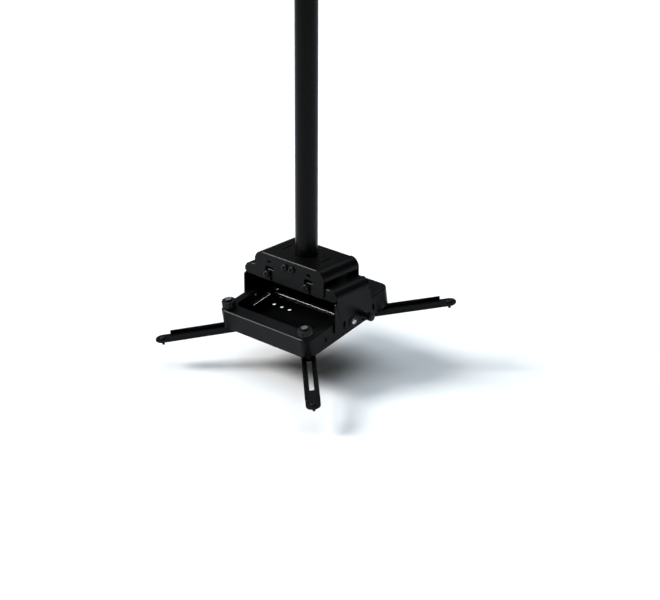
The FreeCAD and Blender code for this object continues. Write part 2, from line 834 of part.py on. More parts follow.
def arm_blank():
    """Arm on the X axis: its tab's rounded end reaches arm_length, its inner end is at 0."""
    half = arm_width / 2
    step = arm_length - arm_tab
    tip = Vector(arm_length - half, 0, 0)
    body = block(0, tip.x, -half, half, 0, arm_sheet).fuse(rod(tip, tip + UP * arm_sheet, half))
    web = half - arm_sheet
    walls = block(0, step, -half, half, 0, arm_height)
    walls = walls.cut(block(-overrun, step + overrun, -web, web, -overrun, arm_height + overrun))
    body = body.fuse(walls).removeSplitter()
    foot = [e for e in body.Edges if e.BoundBox.ZMax < touch and e.BoundBox.XMax > touch]
    body = body.makeFillet(arm_edge, foot)
    slot = rounded_plate(
        arm_slot_inner_margin,
        arm_length - arm_slot_outer_margin,
        -arm_slot / 2,
        arm_slot / 2,
        -overrun,
        arm_sheet + overrun,
        arm_slot_corner,
    )
    hole = rod(tip - UP * overrun, tip + UP * (arm_sheet + overrun), arm_tab_hole / 2)
    body = body.cut(slot).cut(hole)
    return body.removeSplitter()


def arm_tab_screw():
    """Small domed screw in the tab's hole, on the arm's own axis, with a shoulder in the hole."""
    screw = dome_screw(tab_shoulder, arm_screw_head, arm_screw_head_height, arm_sheet)
    shank = rod(UP * -(arm_sheet + arm_screw_length), UP * -arm_sheet, arm_screw / 2)
    screw = screw.fuse(shank).removeSplitter()
    return screw.translated(Vector(arm_length - arm_width / 2, 0, arm_sheet))


def arm_turns():
    """Direction of each arm from its bolt, in degrees from +X in the tray's plan."""
    return {
        "front_left": 180 + front_left_angle,
        "front_right": -front_right_angle,
        "rear_left": 180 - arm_angle,
        "rear_right": arm_angle,
    }


def on_arm(shape, corner):
    """Copy of a shape made on the arm's own axis, placed at a corner of the tray."""
    tail = {
        "front_left": front_left_tail,
        "front_right": front_right_tail,
        "rear_left": rear_left_tail,
        "rear_right": rear_right_tail,
    }[corner]
    moved = shape.translated(Vector(-tail, 0, arm_floor))
    moved.rotate(Vector(0, 0, 0), UP, arm_turns()[corner])
    moved.translate(corner_places()[corner])
    return moved


def turned_bolt(corner):
    """Corner bolt with its square neck lined up with its arm."""
    bolt = corner_clamp_bolt(Vector(0, 0, 0))
    bolt.rotate(Vector(0, 0, 0), UP, arm_turns()[corner])
    return bolt.translated(corner_places()[corner])


def in_head(shape):
    """Shape moved from the upper bracket's frame to the mount's frame."""
    return shape.translated(Vector(0, 0, -drop))


def in_tray(shape):
    """Shape moved from the tray's frame to the mount's frame, at the rest pitch."""
    moved = shape.translated(Vector(0, -pivot_setback, pivot_depth))
    moved.rotate(Vector(0, 0, 0), Vector(1, 0, 0), rest_pitch)
    moved.translate(Vector(0, 0, -drop - pivot_drop))
    return moved


def all_nodes():
    """Every piece of the mount by name, in the mount's frame."""
    nodes = {
        "ceiling_plate": ceiling_plate(),
        "collar_screws": collar_screws(),
        "pole": pole(),
        "pole_nut": pole_nut(),
        "thrust_washer": thrust_washer(),
        "upper_bracket": in_head(upper_bracket()),
        "pole_block": in_head(pole_block()),
        "block_screws": in_head(block_screws()),
        "yoke": in_head(yoke()),
        "hook_screws": in_head(hook_screws()),
        "hook_nuts": in_head(hook_nuts()),
        "tray_shell": in_tray(tray_shell()),
        "tray_floor": in_tray(tray_floor()),
        "corner_spacers": in_tray(corner_spacers()),
        "corner_washers": in_tray(corner_washers()),
        "pivot_rod": in_tray(pivot_rod()),
        "pivot_spacers": in_tray(pivot_spacers()),
        "pivot_washers": in_tray(pivot_washers()),
        "pivot_screws": in_tray(pivot_screws()),
        "lock_studs": in_tray(lock_studs()),
        "lock_nuts": in_tray(lock_nuts()),
        "lock_washers": in_tray(lock_washers()),
    }
    for name, (place, axis) in zip(("left", "right"), lock_places()):
        nodes["lock_knob_" + name] = in_tray(lock_knob(place, axis))
    blank = arm_blank()
    tab_screw = arm_tab_screw()
    for corner, place in corner_places().items():
        nodes["corner_bolt_" + corner] = in_tray(turned_bolt(corner))
        nodes["thumb_nut_" + corner] = in_tray(thumb_nut(place))
        nodes["arm_" + corner] = in_tray(on_arm(blank, corner))
        nodes["arm_screw_" + corner] = in_tray(on_arm(tab_screw, corner))
    return nodes


def main():
    """Write one STEP file for each node."""
    os.makedirs("parts", exist_ok=True)
    for name, shape in all_nodes().items():
        if not shape.isValid():
            print("invalid shape:", name)
        solids = len(shape.Solids)
        print(f"{name}: {solids} solid(s), {shape.Volume / 1000:.2f} cm3")
        shape.exportStep(os.path.join("parts", name + ".step"))


main()
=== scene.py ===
"""Ceiling mount on a drop pole: studio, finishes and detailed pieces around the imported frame."""

import logging
import math
from dataclasses import dataclass, field
from enum import Enum
from typing import ClassVar, Iterable, Protocol, Sequence

import bmesh
import bpy
import numpy as np
from mathutils import Matrix, Vector


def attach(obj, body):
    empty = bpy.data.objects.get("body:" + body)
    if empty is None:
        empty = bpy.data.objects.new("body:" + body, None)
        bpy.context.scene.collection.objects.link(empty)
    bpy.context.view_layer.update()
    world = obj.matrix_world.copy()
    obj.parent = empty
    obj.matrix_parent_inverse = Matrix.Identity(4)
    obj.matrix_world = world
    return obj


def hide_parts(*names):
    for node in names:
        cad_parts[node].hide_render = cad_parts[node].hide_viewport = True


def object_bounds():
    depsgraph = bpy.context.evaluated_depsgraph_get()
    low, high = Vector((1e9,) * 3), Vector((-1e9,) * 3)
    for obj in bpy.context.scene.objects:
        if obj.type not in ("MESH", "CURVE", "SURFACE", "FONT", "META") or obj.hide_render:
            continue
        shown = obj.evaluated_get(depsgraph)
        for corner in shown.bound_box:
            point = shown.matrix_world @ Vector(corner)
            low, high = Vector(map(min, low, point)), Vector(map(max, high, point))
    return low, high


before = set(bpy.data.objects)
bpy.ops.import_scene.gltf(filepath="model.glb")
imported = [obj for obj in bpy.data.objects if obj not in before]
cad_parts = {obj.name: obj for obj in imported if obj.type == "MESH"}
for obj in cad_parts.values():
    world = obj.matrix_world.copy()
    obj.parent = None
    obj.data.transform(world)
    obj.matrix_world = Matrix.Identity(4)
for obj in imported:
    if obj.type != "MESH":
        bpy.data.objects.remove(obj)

LOG = logging.getLogger("ceiling_mount")
CAD_BOX = [[float(value) for value in corner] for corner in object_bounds()]
MM = 0.001
# Sides of the shapes that nuts, sockets and necks follow
HEXAGON = 6
SQUARE = 4
# Radius of a socket's mouth over half the socket's width
SOCKET_MOUTH = 1.17
# Distances in metres below which points merge, packed points merge, edges go and lengths count as none
SAME_POINT = 1e-7
SAME_PACKED_POINT = 2e-6
EMPTY_EDGE = 1e-8
LEAST_LENGTH = 1e-9
IMAGE_WIDTH = 660.0


class Slot(Enum):
    """Material slots of the record."""

    COAT = "black_coat"
    SCREW = "black_screw"
    BRIGHT = "bright_screw"
    NYLON = "nylon"
    KNOB = "knob_plastic"


class Corner(Enum):
    """Corners of the tray, each with its own clamp and arm."""

    FRONT_LEFT = "front_left"
    FRONT_RIGHT = "front_right"
    REAR_LEFT = "rear_left"
    REAR_RIGHT = "rear_right"


@dataclass(frozen=True)
class Place:
    """Where a piece that is made on its own Z axis stands.

    Attributes:
        origin: Place of the piece's own origin, in metres.
        axes: Piece's own axes as the columns of a 3 by 3 array.
    """

    origin: np.ndarray
    axes: np.ndarray

    @staticmethod
    def aimed(origin: Sequence[float], axis: Sequence[float], turn: float = 0.0) -> "Place":
        """Makes a place whose Z axis points along a direction.

        Args:
            origin: Place of the piece's own origin, in metres.
            axis: Direction of the piece's Z axis.
            turn: Turn about that axis, in degrees.

        Returns:
            The place.
        """
        turned = Vector((0, 0, 1)).rotation_difference(Vector(axis)).to_matrix()
        turned = turned @ Matrix.Rotation(math.radians(turn), 3, "Z")
        return Place(np.asarray(origin, float), np.asarray(turned, float))

    def carry(self, points: np.ndarray) -> np.ndarray:
        """Carries points from the piece's own axes to the mount's frame."""
        return self.origin + points @ self.axes.T


@dataclass(frozen=True)
class TrayFrame:
    """Frame of the tilted tray: origin at the centre of its top face, Z along its normal."""

    pivot_height: float = -0.503
    setback: float = 0.0038
    depth: float = 0.0145
    pitch: float = math.radians(9.8)

    @property
    def axes(self) -> np.ndarray:
        """Tray's own axes as columns: a turn by the pitch about X."""
        cos, sin = math.cos(self.pitch), math.sin(self.pitch)
        return np.array([[1, 0, 0], [0, cos, -sin], [0, sin, cos]])

    def point(self, x: float, y: float, z: float) -> np.ndarray:
        """Carries a point of the tray to the mount's frame, in metres."""
        local = np.array([x, y - self.setback, z + self.depth])
        return self.axes @ local + np.array([0, 0, self.pivot_height])

    def place(self, point: Sequence[float], axis: Sequence[float], turn: float = 0.0) -> Place:
        """Makes a place from a point and a direction of the tray.

        Args:
            point: Point in the tray's frame, in metres.
            axis: Direction in the tray's frame.
            turn: Turn about that direction, in degrees.

        Returns:
            The place in the mount's frame.
        """
        local = Place.aimed((0, 0, 0), axis, turn)
        return Place(self.point(*point), self.axes @ local.axes)


TRAY_FRAME = TrayFrame()


class Shape:
    """Vertices and faces of one piece, gathered from grids."""

    def __init__(self) -> None:
        """Starts an empty shape."""
        self._points: list[np.ndarray] = []
        self._faces: list[np.ndarray] = []
        self._count = 0

    def add_grid(self, points: np.ndarray, wrap: bool = True) -> None:
        """Adds a surface given as a grid of points.

        Each cell of the grid becomes one four-cornered face.

        Args:
            points: Array of rows by columns by 3, in metres.
            wrap: Whether the last column joins the first.
        """
        rows, columns = points.shape[:2]
        row = np.arange(rows - 1)[:, None] * columns
        column = np.arange(columns if wrap else columns - 1)[None, :]
        after = (column + 1) % columns
        cells = np.stack([row + column, row + after, row + columns + after, row + columns + column], -1)
        self._faces.append(cells.reshape(-1, 4) + self._count)
        self._points.append(points.reshape(-1, 3))
        self._count += rows * columns

    def build(self, name: str, material: bpy.types.Material, sharp: float = 32.0) -> bpy.types.Object:
        """Makes the object, with seams and poles closed and faces outwards.

        Args:
            name: Name of the piece.
            material: Finish of the piece.
            sharp: Angle in degrees past which an edge stays sharp.

        Returns:
            The new object, linked to the scene.
        """
        mesh = bpy.data.meshes.new(name)
        mesh.from_pydata(np.concatenate(self._points).tolist(), [], np.concatenate(self._faces).tolist())
        close_and_face_out(mesh)
        mesh.shade_smooth()
        mesh.set_sharp_from_angle(angle=math.radians(sharp))
        mesh.materials.append(material)
        piece = bpy.data.objects.new(name, mesh)
        bpy.context.scene.collection.objects.link(piece)
        return piece


class Part(Protocol):
    """Small part that can add itself to a shape."""

    def add_to(self, shape: Shape, place: Place) -> None:
        """Adds the part at a place."""


def close_and_face_out(mesh: bpy.types.Mesh) -> None:
    """Merges doubled points, drops empty faces and turns all faces outwards.

    Args:
        mesh: Mesh that is changed.
    """
    work = bmesh.new()
    work.from_mesh(mesh)
    bmesh.ops.remove_doubles(work, verts=work.verts, dist=SAME_POINT)
    bmesh.ops.dissolve_degenerate(work, edges=work.edges, dist=EMPTY_EDGE)
    bmesh.ops.recalc_face_normals(work, faces=work.faces)
    work.to_mesh(mesh)
    work.free()


def unit_rows(rows: np.ndarray) -> np.ndarray:
    """Rows scaled to a length of 1, where a row of no length stays as it is."""
    return rows / np.maximum(np.linalg.norm(rows, axis=1, keepdims=True), LEAST_LENGTH)


def rounded_profile(corners: Sequence[Sequence[float]], steps: int = 4) -> np.ndarray:
    """Rounds the corners of an open profile.

    Each corner gives way to the quadratic curve between the two points that lie its rounding's
    length before and after it: (1-s)^2 start + 2s(1-s) corner + s^2 end.

    Args:
        corners: Rows of radius, height and rounding, in millimetres.
        steps: Divisions of each rounding.

    Returns:
        Rows of radius and height, in metres.
    """
    rows = np.asarray(corners, float)
    spots = rows[:, :2]
    length = rows[:, 2:]
    before = np.vstack([spots[:1], spots[:-1]]) - spots
    after = np.vstack([spots[1:], spots[-1:]]) - spots
    start = spots + length * unit_rows(before)
    end = spots + length * unit_rows(after)
    s = np.linspace(0, 1, steps + 1)[None, :, None]
    curve = (1 - s) ** 2 * start[:, None] + 2 * s * (1 - s) * spots[:, None] + s**2 * end[:, None]
    return curve.reshape(-1, 2) * MM


def turning(count: int) -> np.ndarray:
    """Angles of one full turn, in radians, without the last."""
    return np.arange(count) * (2 * math.pi / count)


def many_sided(angles: np.ndarray, sides: int) -> np.ndarray:
    """Reach of a regular shape over its half width: 1 / cos of the angle from a side's middle."""
    half = math.pi / sides
    return 1 / np.cos((angles + half) % (2 * half) - half)


def helix(height: np.ndarray, angles: np.ndarray, radius: float, pitch: float) -> np.ndarray:
    """Factors that cut a screw thread into a shank.

    The depth at a point is a triangle wave of height / pitch - angle / full turn, which fades over one
    pitch at both ends of the rows.

    Args:
        height: Heights of the rows, in millimetres.
        angles: Angles of the turn, in radians.
        radius: Shank's radius, in millimetres.
        pitch: Rise of one turn, in millimetres.

    Returns:
        Array of rows by angles that multiplies the radius.
    """
    depth_share = 0.54
    turn = (height[:, None] / pitch - angles / (2 * math.pi)) % 1
    inside = np.minimum(height.max() - height, height - height.min())
    fade = np.clip(inside / pitch, 0, 1)[:, None]
    return 1 - fade * np.abs(2 * turn - 1) * depth_share * pitch / radius


def lathe(profile: np.ndarray, factors: np.ndarray, place: Place, angles: np.ndarray) -> np.ndarray:
    """Turns a profile about the Z axis of a place.

    A point is (radius * factor * cos, radius * factor * sin, height) at each angle.

    Args:
        profile: Rows of radius and height, in metres.
        factors: Array that multiplies the radius for each row and angle.
        place: Where the turned shape stands.
        angles: Angles of the turn, in radians.

    Returns:
        Grid of points in the mount's frame.
    """
    radius = profile[:, :1] * factors
    height = np.broadcast_to(profile[:, 1:], radius.shape)
    return place.carry(np.stack([radius * np.cos(angles), radius * np.sin(angles), height], -1))


def plain_lathe(profile: np.ndarray, place: Place, count: int = 48) -> np.ndarray:
    """Turns a profile into a plain round shape."""
    return lathe(profile, np.ones((len(profile), count)), place, turning(count))


@dataclass(frozen=True)
class DomedScrew:
    """Domed screw with a six-sided socket, seat at Z 0 and head above, in millimetres.

    Attributes:
        thread: Diameter of the threaded shank.
        head: Diameter of the head.
        height: Height of the head.
        length: Length under the head.
        pitch: Rise of one turn of the thread.
        shoulder: Diameter of the plain stretch under the head.
        grip: Length of that stretch.
        rim_share: Share of the head's height that lies under its dome.
        crown_share: Radius of the flat crown as a share of the head's diameter.
        socket_share: Width of the socket as a share of the stem's diameter.
        socket_floor_share: Height of the socket's floor as a share of the head's height.
        edge: Chamfer of the head's edges.
        rows_per_turn: Rows of points in one turn of the thread.
        dome_rows: Rows of points over the dome.
        columns: Points around.
    """

    thread: float
    head: float
    height: float
    length: float
    pitch: float = 1.0
    shoulder: float = 0.0
    grip: float = 0.0
    rim_share: float = 0.3
    crown_share: float = 0.25
    socket_share: float = 0.66
    socket_floor_share: float = 0.4
    edge: float = 0.2
    rows_per_turn: int = 8
    dome_rows: int = 9
    columns: int = 48

    def add_to(self, shape: Shape, place: Place) -> None:
        """Adds the screw: its socket follows a hexagon, its thread a helix and the rest a circle.

        Args:
            shape: Shape that takes the screw.
            place: Seat and outward direction of the head.
        """
        stem = max(self.shoulder, self.thread)
        socket = stem * self.socket_share / 2
        crown = self.head * self.crown_share
        rim = self.height * self.rim_share
        floor = self.height * self.socket_floor_share
        inside = np.array([(0, floor), (socket, floor), (socket, self.height - self.edge)])
        mouth = np.array([(socket * SOCKET_MOUTH, self.height)])
        arc = np.linspace(0, math.pi / 2, self.dome_rows)
        dome = np.stack(
            [crown + (self.head / 2 - crown) * np.sin(arc), rim + (self.height - rim) * np.cos(arc)], -1
        )
        under = np.array([(self.head / 2, self.edge), (self.head / 2 - self.edge, 0), (stem / 2, 0)])
        plain = np.array([(stem / 2, -self.grip), (self.thread / 2, -self.grip)])
        count = round((self.length - self.grip) / self.pitch * self.rows_per_turn)
        height = np.linspace(-self.grip, -self.length + self.pitch / 2, count)
        threaded = np.stack([np.full(count, self.thread / 2), height], -1)
        end = np.array([(self.thread / 2 - self.pitch / 2, -self.length), (0, -self.length)])
        profile = np.vstack([inside, mouth, dome, under, plain, threaded, end]) * MM
        angles = turning(self.columns)
        factors = np.ones((len(profile), len(angles)))
        factors[: len(inside)] = many_sided(angles, HEXAGON)
        factors[-count - len(end) : -len(end)] = helix(height, angles, self.thread / 2, self.pitch)
        shape.add_grid(lathe(profile, factors, place, angles))


@dataclass(frozen=True)
class HexNut:
    """Six-sided nut from Z 0 to its height, with chamfered corners, in millimetres."""

    flats: float
    height: float
    bore: float
    chamfer: float = 0.5
    columns: int = 72

    def add_to(self, shape: Shape, place: Place) -> None:
        """Adds the nut: its side follows a hexagon and its ends a circle, with a cone between them.

        Args:
            shape: Shape that takes the nut.
            place: Foot and direction of the nut.
        """
        half = self.flats / 2
        bore = self.bore / 2
        low, high = self.chamfer, self.height - self.chamfer
        profile = np.array(
            [
                (bore, low),
                (bore + low / 2, 0),
                (half, 0),
                (half, low),
                (half, high),
                (half, self.height),
                (bore + low / 2, self.height),
                (bore, high),
                (bore, low),
            ]
        )
        side_rows = slice(3, 5)
        angles = turning(self.columns)
        factors = np.ones((len(profile), len(angles)))
        factors[side_rows] = many_sided(angles, HEXAGON)
        shape.add_grid(lathe(profile * MM, factors, place, angles))


@dataclass(frozen=True)
class SetScrew:
    """Headless screw with a six-sided socket at its outer end, from Z 0 to its length, in millimetres."""

    diameter: float
    length: float
    socket: float
    chamfer: float = 0.5
    edge: float = 0.2
    columns: int = 48

    def add_to(self, shape: Shape, place: Place) -> None:
        """Adds the screw: rows of the profile in the socket follow a hexagon, the others a circle.

        Args:
            shape: Shape that takes the screw.
            place: Inner end and outward direction of the screw.
        """
        half, socket = self.diameter / 2, self.socket / 2
        floor, brim = self.length / 2, self.length - self.edge
        inside = np.array([(0, floor), (socket, floor), (socket, brim)])
        outside = np.array(
            [
                (socket * SOCKET_MOUTH, self.length),
                (half - self.chamfer, self.length),
                (half, self.length - self.chamfer),
                (half, self.chamfer),
                (half - self.chamfer, 0),
                (0, 0),
            ]
        )
        profile = np.vstack([inside, outside]) * MM
        angles = turning(self.columns)
        factors = np.ones((len(profile), len(angles)))
        factors[: len(inside)] = many_sided(angles, HEXAGON)
        shape.add_grid(lathe(profile, factors, place, angles))


@dataclass(frozen=True)
class Ring:
    """Washer or sleeve with rounded edges, in millimetres.

    Attributes:
        bore: Diameter of the hole.
        outer: Outer diameter.
        low: Height of the lower face.
        high: Height of the upper face.
        edge: Rounding of the edges.
        columns: Points around.
    """

    bore: float
    outer: float
    low: float
    high: float
    edge: float = 0.2
    columns: int = 64

    def add_to(self, shape: Shape, place: Place) -> None:
        """Adds the ring: a closed profile of four rounded corners, turned about the axis.

        Args:
            shape: Shape that takes the ring.
            place: Origin and axis of the ring.
        """
        inner, outer = self.bore / 2, self.outer / 2
        middle = (self.low + self.high) / 2
        profile = rounded_profile(
            [
                (inner, middle, 0),
                (inner, self.low, self.edge),
                (outer, self.low, self.edge),
                (outer, self.high, self.edge),
                (inner, self.high, self.edge),
                (inner, middle, 0),
            ]
        )
        shape.add_grid(plain_lathe(profile, place, self.columns))


@dataclass(frozen=True)
class CarriageBolt:
    """Bolt with a low domed head below and a square neck, in millimetres along its axis.

    Attributes:
        shank: Diameter of the shank.
        head: Diameter of the head.
        neck: Side of the square neck.
        foot: Height of the head's lower face.
        seat: Height of the head's upper face.
        neck_top: Height where the neck ends.
        top: Height where the shank ends.
        crown_share: Radius of the head's flat foot as a share of its own.
        crown_rounding: Rounding around that foot.
        rim: Height of the head's side.
        rim_rounding: Rounding below that side.
        edge: Rounding above it.
        seat_share: Radius where the head's upper face ends as a share of its own.
        chamfer: Chamfer of the shank's end.
        columns: Points around.
    """

    shank: float
    head: float
    neck: float
    foot: float
    seat: float
    neck_top: float
    top: float
    crown_share: float = 0.72
    crown_rounding: float = 1.2
    rim: float = 1.0
    rim_rounding: float = 0.5
    edge: float = 0.2
    seat_share: float = 0.7
    chamfer: float = 0.6
    columns: int = 64

    def add_to(self, shape: Shape, place: Place) -> None:
        """Adds the bolt: rows of the neck follow a square, the others a circle.

        Args:
            shape: Shape that takes the bolt.
            place: Origin and axis of the bolt.
        """
        half, shank = self.head / 2, self.shank / 2
        head = rounded_profile(
            [
                (0, self.foot, 0),
                (half * self.crown_share, self.foot, self.crown_rounding),
                (half, self.seat - self.rim, self.rim_rounding),
                (half, self.seat, self.edge),
                (half * self.seat_share, self.seat, 0),
            ]
        )
        neck = np.array([(self.neck / 2, self.seat), (self.neck / 2, self.neck_top)]) * MM
        tip, end = self.top - self.chamfer, shank - self.chamfer
        stem = np.array([(shank, self.neck_top), (shank, tip), (end, self.top), (0, self.top)])
        profile = np.vstack([head, neck, stem * MM])
        angles = turning(self.columns)
        factors = np.ones((len(profile), len(angles)))
        factors[len(head) : len(head) + len(neck)] = many_sided(angles, SQUARE)
        shape.add_grid(lathe(profile, factors, place, angles))


@dataclass(frozen=True)
class GripKnob:
    """Moulded knob turned from a profile, with flutes around its grip.

    Attributes:
        profile: Rows of radius, height and rounding, in millimetres.
        grip_low: Height where the flutes start.
        grip_high: Height where they end.
        flutes: Number of flutes.
        depth: Depth of a flute, in millimetres.
        fade: Height over which a flute runs out, in millimetres.
        grip_radius: Radius of the grip, in millimetres.
        flute_start: Share of the grip's radius from which flutes are cut.
        flute_growth: Share of that radius over which they reach their depth.
        rounding_steps: Divisions of each rounding.
        row_step: Largest distance between rows of points, in millimetres.
        columns_per_flute: Points around, for each flute.
    """

    profile: tuple[tuple[float, float, float], ...]
    grip_low: float
    grip_high: float
    flutes: int
    depth: float
    fade: float
    grip_radius: float
    flute_start: float = 0.75
    flute_growth: float = 0.15
    rounding_steps: int = 5
    row_step: float = 0.5
    columns_per_flute: int = 12

    def add_to(self, shape: Shape, place: Place) -> None:
        """Adds the knob: a flute is depth * (0.5 + 0.5 cos(flutes * angle))^2 off the grip's radius.

        Args:
            shape: Shape that takes the knob.
            place: Origin and axis of the knob.
        """
        rows = self._divided(rounded_profile(self.profile, self.rounding_steps))
        angles = turning(self.flutes * self.columns_per_flute)
        height = rows[:, 1] / MM
        start = self.flute_start * self.grip_radius
        growth = self.flute_growth * self.grip_radius
        near_grip = np.clip((rows[:, 0] / MM - start) / growth, 0, 1)
        inside = np.minimum(height - self.grip_low, self.grip_high - height)
        share = np.clip(inside / self.fade, 0, 1) * near_grip
        wave = (0.5 + 0.5 * np.cos(self.flutes * angles)) ** 2
        factors = 1 - share[:, None] * wave * self.depth / self.grip_radius
        shape.add_grid(lathe(rows, factors, place, angles))

    def _divided(self, rows: np.ndarray) -> np.ndarray:
        """Adds points to a profile by straight division of its length.

        Args:
            rows: Rows of radius and height, in metres.

        Returns:
            The profile with points at most one row step apart.
        """
        run = np.concatenate([[0], np.cumsum(np.linalg.norm(np.diff(rows, axis=0), axis=1))])
        even = np.arange(0, run[-1], self.row_step * MM)
        at = np.unique(np.concatenate([run, even]))
        return np.stack([np.interp(at, run, rows[:, 0]), np.interp(at, run, rows[:, 1])], -1)


class NodeGroups:
    """Shader node groups that several finishes share, each built once.

    Attributes:
        fine_scale: Scale of the skin's finer noise over its coarser one.
        fine_share: Share of the finer noise in the skin.
        patch_range: Values of the broad noise that become mask 0 and mask 1.
    """

    fine_scale: float = 3.1
    fine_share: float = 0.35
    patch_range: tuple[float, float] = (0.3, 0.7)

    def __init__(self) -> None:
        """Builds the groups."""
        self.grain = self._grain()
        self.handling = self._handling()

    @staticmethod
    def _new(name: str, inputs: dict[str, float], outputs: Iterable[str]) -> bpy.types.NodeTree:
        """Makes an empty group with a place, named values and named outputs.

        Args:
            name: Name of the group.
            inputs: Named values and what they start as.
            outputs: Names of the values that come out.

        Returns:
            The group.
        """
        group = bpy.data.node_groups.new(name, "ShaderNodeTree")
        group.interface.new_socket(name="Place", in_out="INPUT", socket_type="NodeSocketVector")
        for label, value in inputs.items():
            socket = group.interface.new_socket(name=label, in_out="INPUT", socket_type="NodeSocketFloat")
            socket.default_value = value
        for label in outputs:
            group.interface.new_socket(name=label, in_out="OUTPUT", socket_type="NodeSocketFloat")
        group.nodes.new("NodeGroupInput").name = "In"
        group.nodes.new("NodeGroupOutput").name = "Out"
        return group

    @staticmethod
    def _noise(group: bpy.types.NodeTree, scale: float, detail: float) -> bpy.types.Node:
        """Adds a noise on the group's place.

        Args:
            group: Group that takes the noise.
            scale: Factor on the group's own scale.
            detail: Detail of the noise.

        Returns:
            The noise.
        """
        noise = group.nodes.new("ShaderNodeTexNoise")
        noise.inputs["Detail"].default_value = detail
        group.links.new(group.nodes["In"].outputs["Place"], noise.inputs["Vector"])
        times = group.nodes.new("ShaderNodeMath")
        times.operation = "MULTIPLY"
        times.inputs[1].default_value = scale
        group.links.new(group.nodes["In"].outputs["Scale"], times.inputs[0])
        group.links.new(times.outputs[0], noise.inputs["Scale"])
        return noise

    def _grain(self) -> bpy.types.NodeTree:
        """Builds the fine skin of a coat or moulding: a soft noise with a finer one on top of it.

        Returns:
            The group, with a height.
        """
        group = self._new("Fine grain", {"Scale": 1.0}, ["Height"])
        coarse = self._noise(group, scale=1.0, detail=2.0)
        fine = self._noise(group, scale=self.fine_scale, detail=1.0)
        blend = group.nodes.new("ShaderNodeMix")
        blend.inputs["Factor"].default_value = self.fine_share
        group.links.new(coarse.outputs["Fac"], blend.inputs["A"])
        group.links.new(fine.outputs["Fac"], blend.inputs["B"])
        group.links.new(blend.outputs["Result"], group.nodes["Out"].inputs["Height"])
        return group

    def _handling(self) -> bpy.types.NodeTree:
        """Builds broad soft patches, as from handling and dust: one noise, spread to 0 and 1.

        Returns:
            The group, with a mask.
        """
        group = self._new("Handling", {"Scale": 1.0}, ["Mask"])
        broad = self._noise(group, scale=1.0, detail=3.0)
        spread = group.nodes.new("ShaderNodeMapRange")
        spread.inputs["From Min"].default_value = self.patch_range[0]
        spread.inputs["From Max"].default_value = self.patch_range[1]
        group.links.new(broad.outputs["Fac"], spread.inputs["Value"])
        group.links.new(spread.outputs["Result"], group.nodes["Out"].inputs["Mask"])
        return group


@dataclass(frozen=True)
class Finish:
    """One finish: colour and gloss that drift a little over the surface, and a fine skin.

    Attributes:
        name: Name of the material.
        light: Colour of the patches at mask 1.
        dark: Colour of the patches at mask 0.
        smooth: Roughness at mask 0.
        rough: Roughness at mask 1.
        specular: Specular level of the surface.
        metallic: Metal share of the surface.
        patch_scale: Scale of the patches, per metre.
        grain_scale: Scale of the skin, per metre.
        grain_depth: Height of the skin, in metres.
        grain_strength: Strength of the skin's bump.
    """

    name: str
    light: tuple[float, float, float]
    dark: tuple[float, float, float]
    smooth: float
    rough: float
    specular: float
    metallic: float = 0.0
    patch_scale: float = 30.0
    grain_scale: float = 1500.0
    grain_depth: float = 0.00006
    grain_strength: float = 0.35

    def material(self, groups: NodeGroups) -> bpy.types.Material:
        """Builds the material.

        Args:
            groups: Shared node groups.

        Returns:
            The material.
        """
        made = bpy.data.materials.new(self.name)
        made.use_nodes = True
        tree = made.node_tree
        shader = tree.nodes["Principled BSDF"]
        shader.inputs["Metallic"].default_value = self.metallic
        shader.inputs["Specular IOR Level"].default_value = self.specular
        coordinates = tree.nodes.new("ShaderNodeTexCoord")
        patches = self._group(tree, groups.handling, coordinates, self.patch_scale)
        skin = self._group(tree, groups.grain, coordinates, self.grain_scale)
        colour = tree.nodes.new("ShaderNodeMix")
        colour.data_type = "RGBA"
        colour.inputs["A"].default_value = (*self.dark, 1)
        colour.inputs["B"].default_value = (*self.light, 1)
        tree.links.new(patches.outputs["Mask"], colour.inputs["Factor"])
        tree.links.new(colour.outputs["Result"], shader.inputs["Base Color"])
        gloss = tree.nodes.new("ShaderNodeMapRange")
        gloss.inputs["To Min"].default_value = self.smooth
        gloss.inputs["To Max"].default_value = self.rough
        tree.links.new(patches.outputs["Mask"], gloss.inputs["Value"])
        tree.links.new(gloss.outputs["Result"], shader.inputs["Roughness"])
        bump = tree.nodes.new("ShaderNodeBump")
        bump.inputs["Strength"].default_value = self.grain_strength
        bump.inputs["Distance"].default_value = self.grain_depth
        tree.links.new(skin.outputs["Height"], bump.inputs["Height"])
        tree.links.new(bump.outputs["Normal"], shader.inputs["Normal"])
        return made

    @staticmethod
    def _group(
        tree: bpy.types.NodeTree, group: bpy.types.NodeTree, coordinates: bpy.types.Node, scale: float
    ) -> bpy.types.Node:
        """Places a shared group in a material.

        Args:
            tree: Nodes of the material.
            group: The shared group.
            coordinates: Node whose Object output is the group's place.
            scale: Scale of the group, per metre.

        Returns:
            The placed group.
        """
        node = tree.nodes.new("ShaderNodeGroup")
        node.node_tree = group
        node.inputs["Scale"].default_value = scale
        tree.links.new(coordinates.outputs["Object"], node.inputs["Place"])
        return node


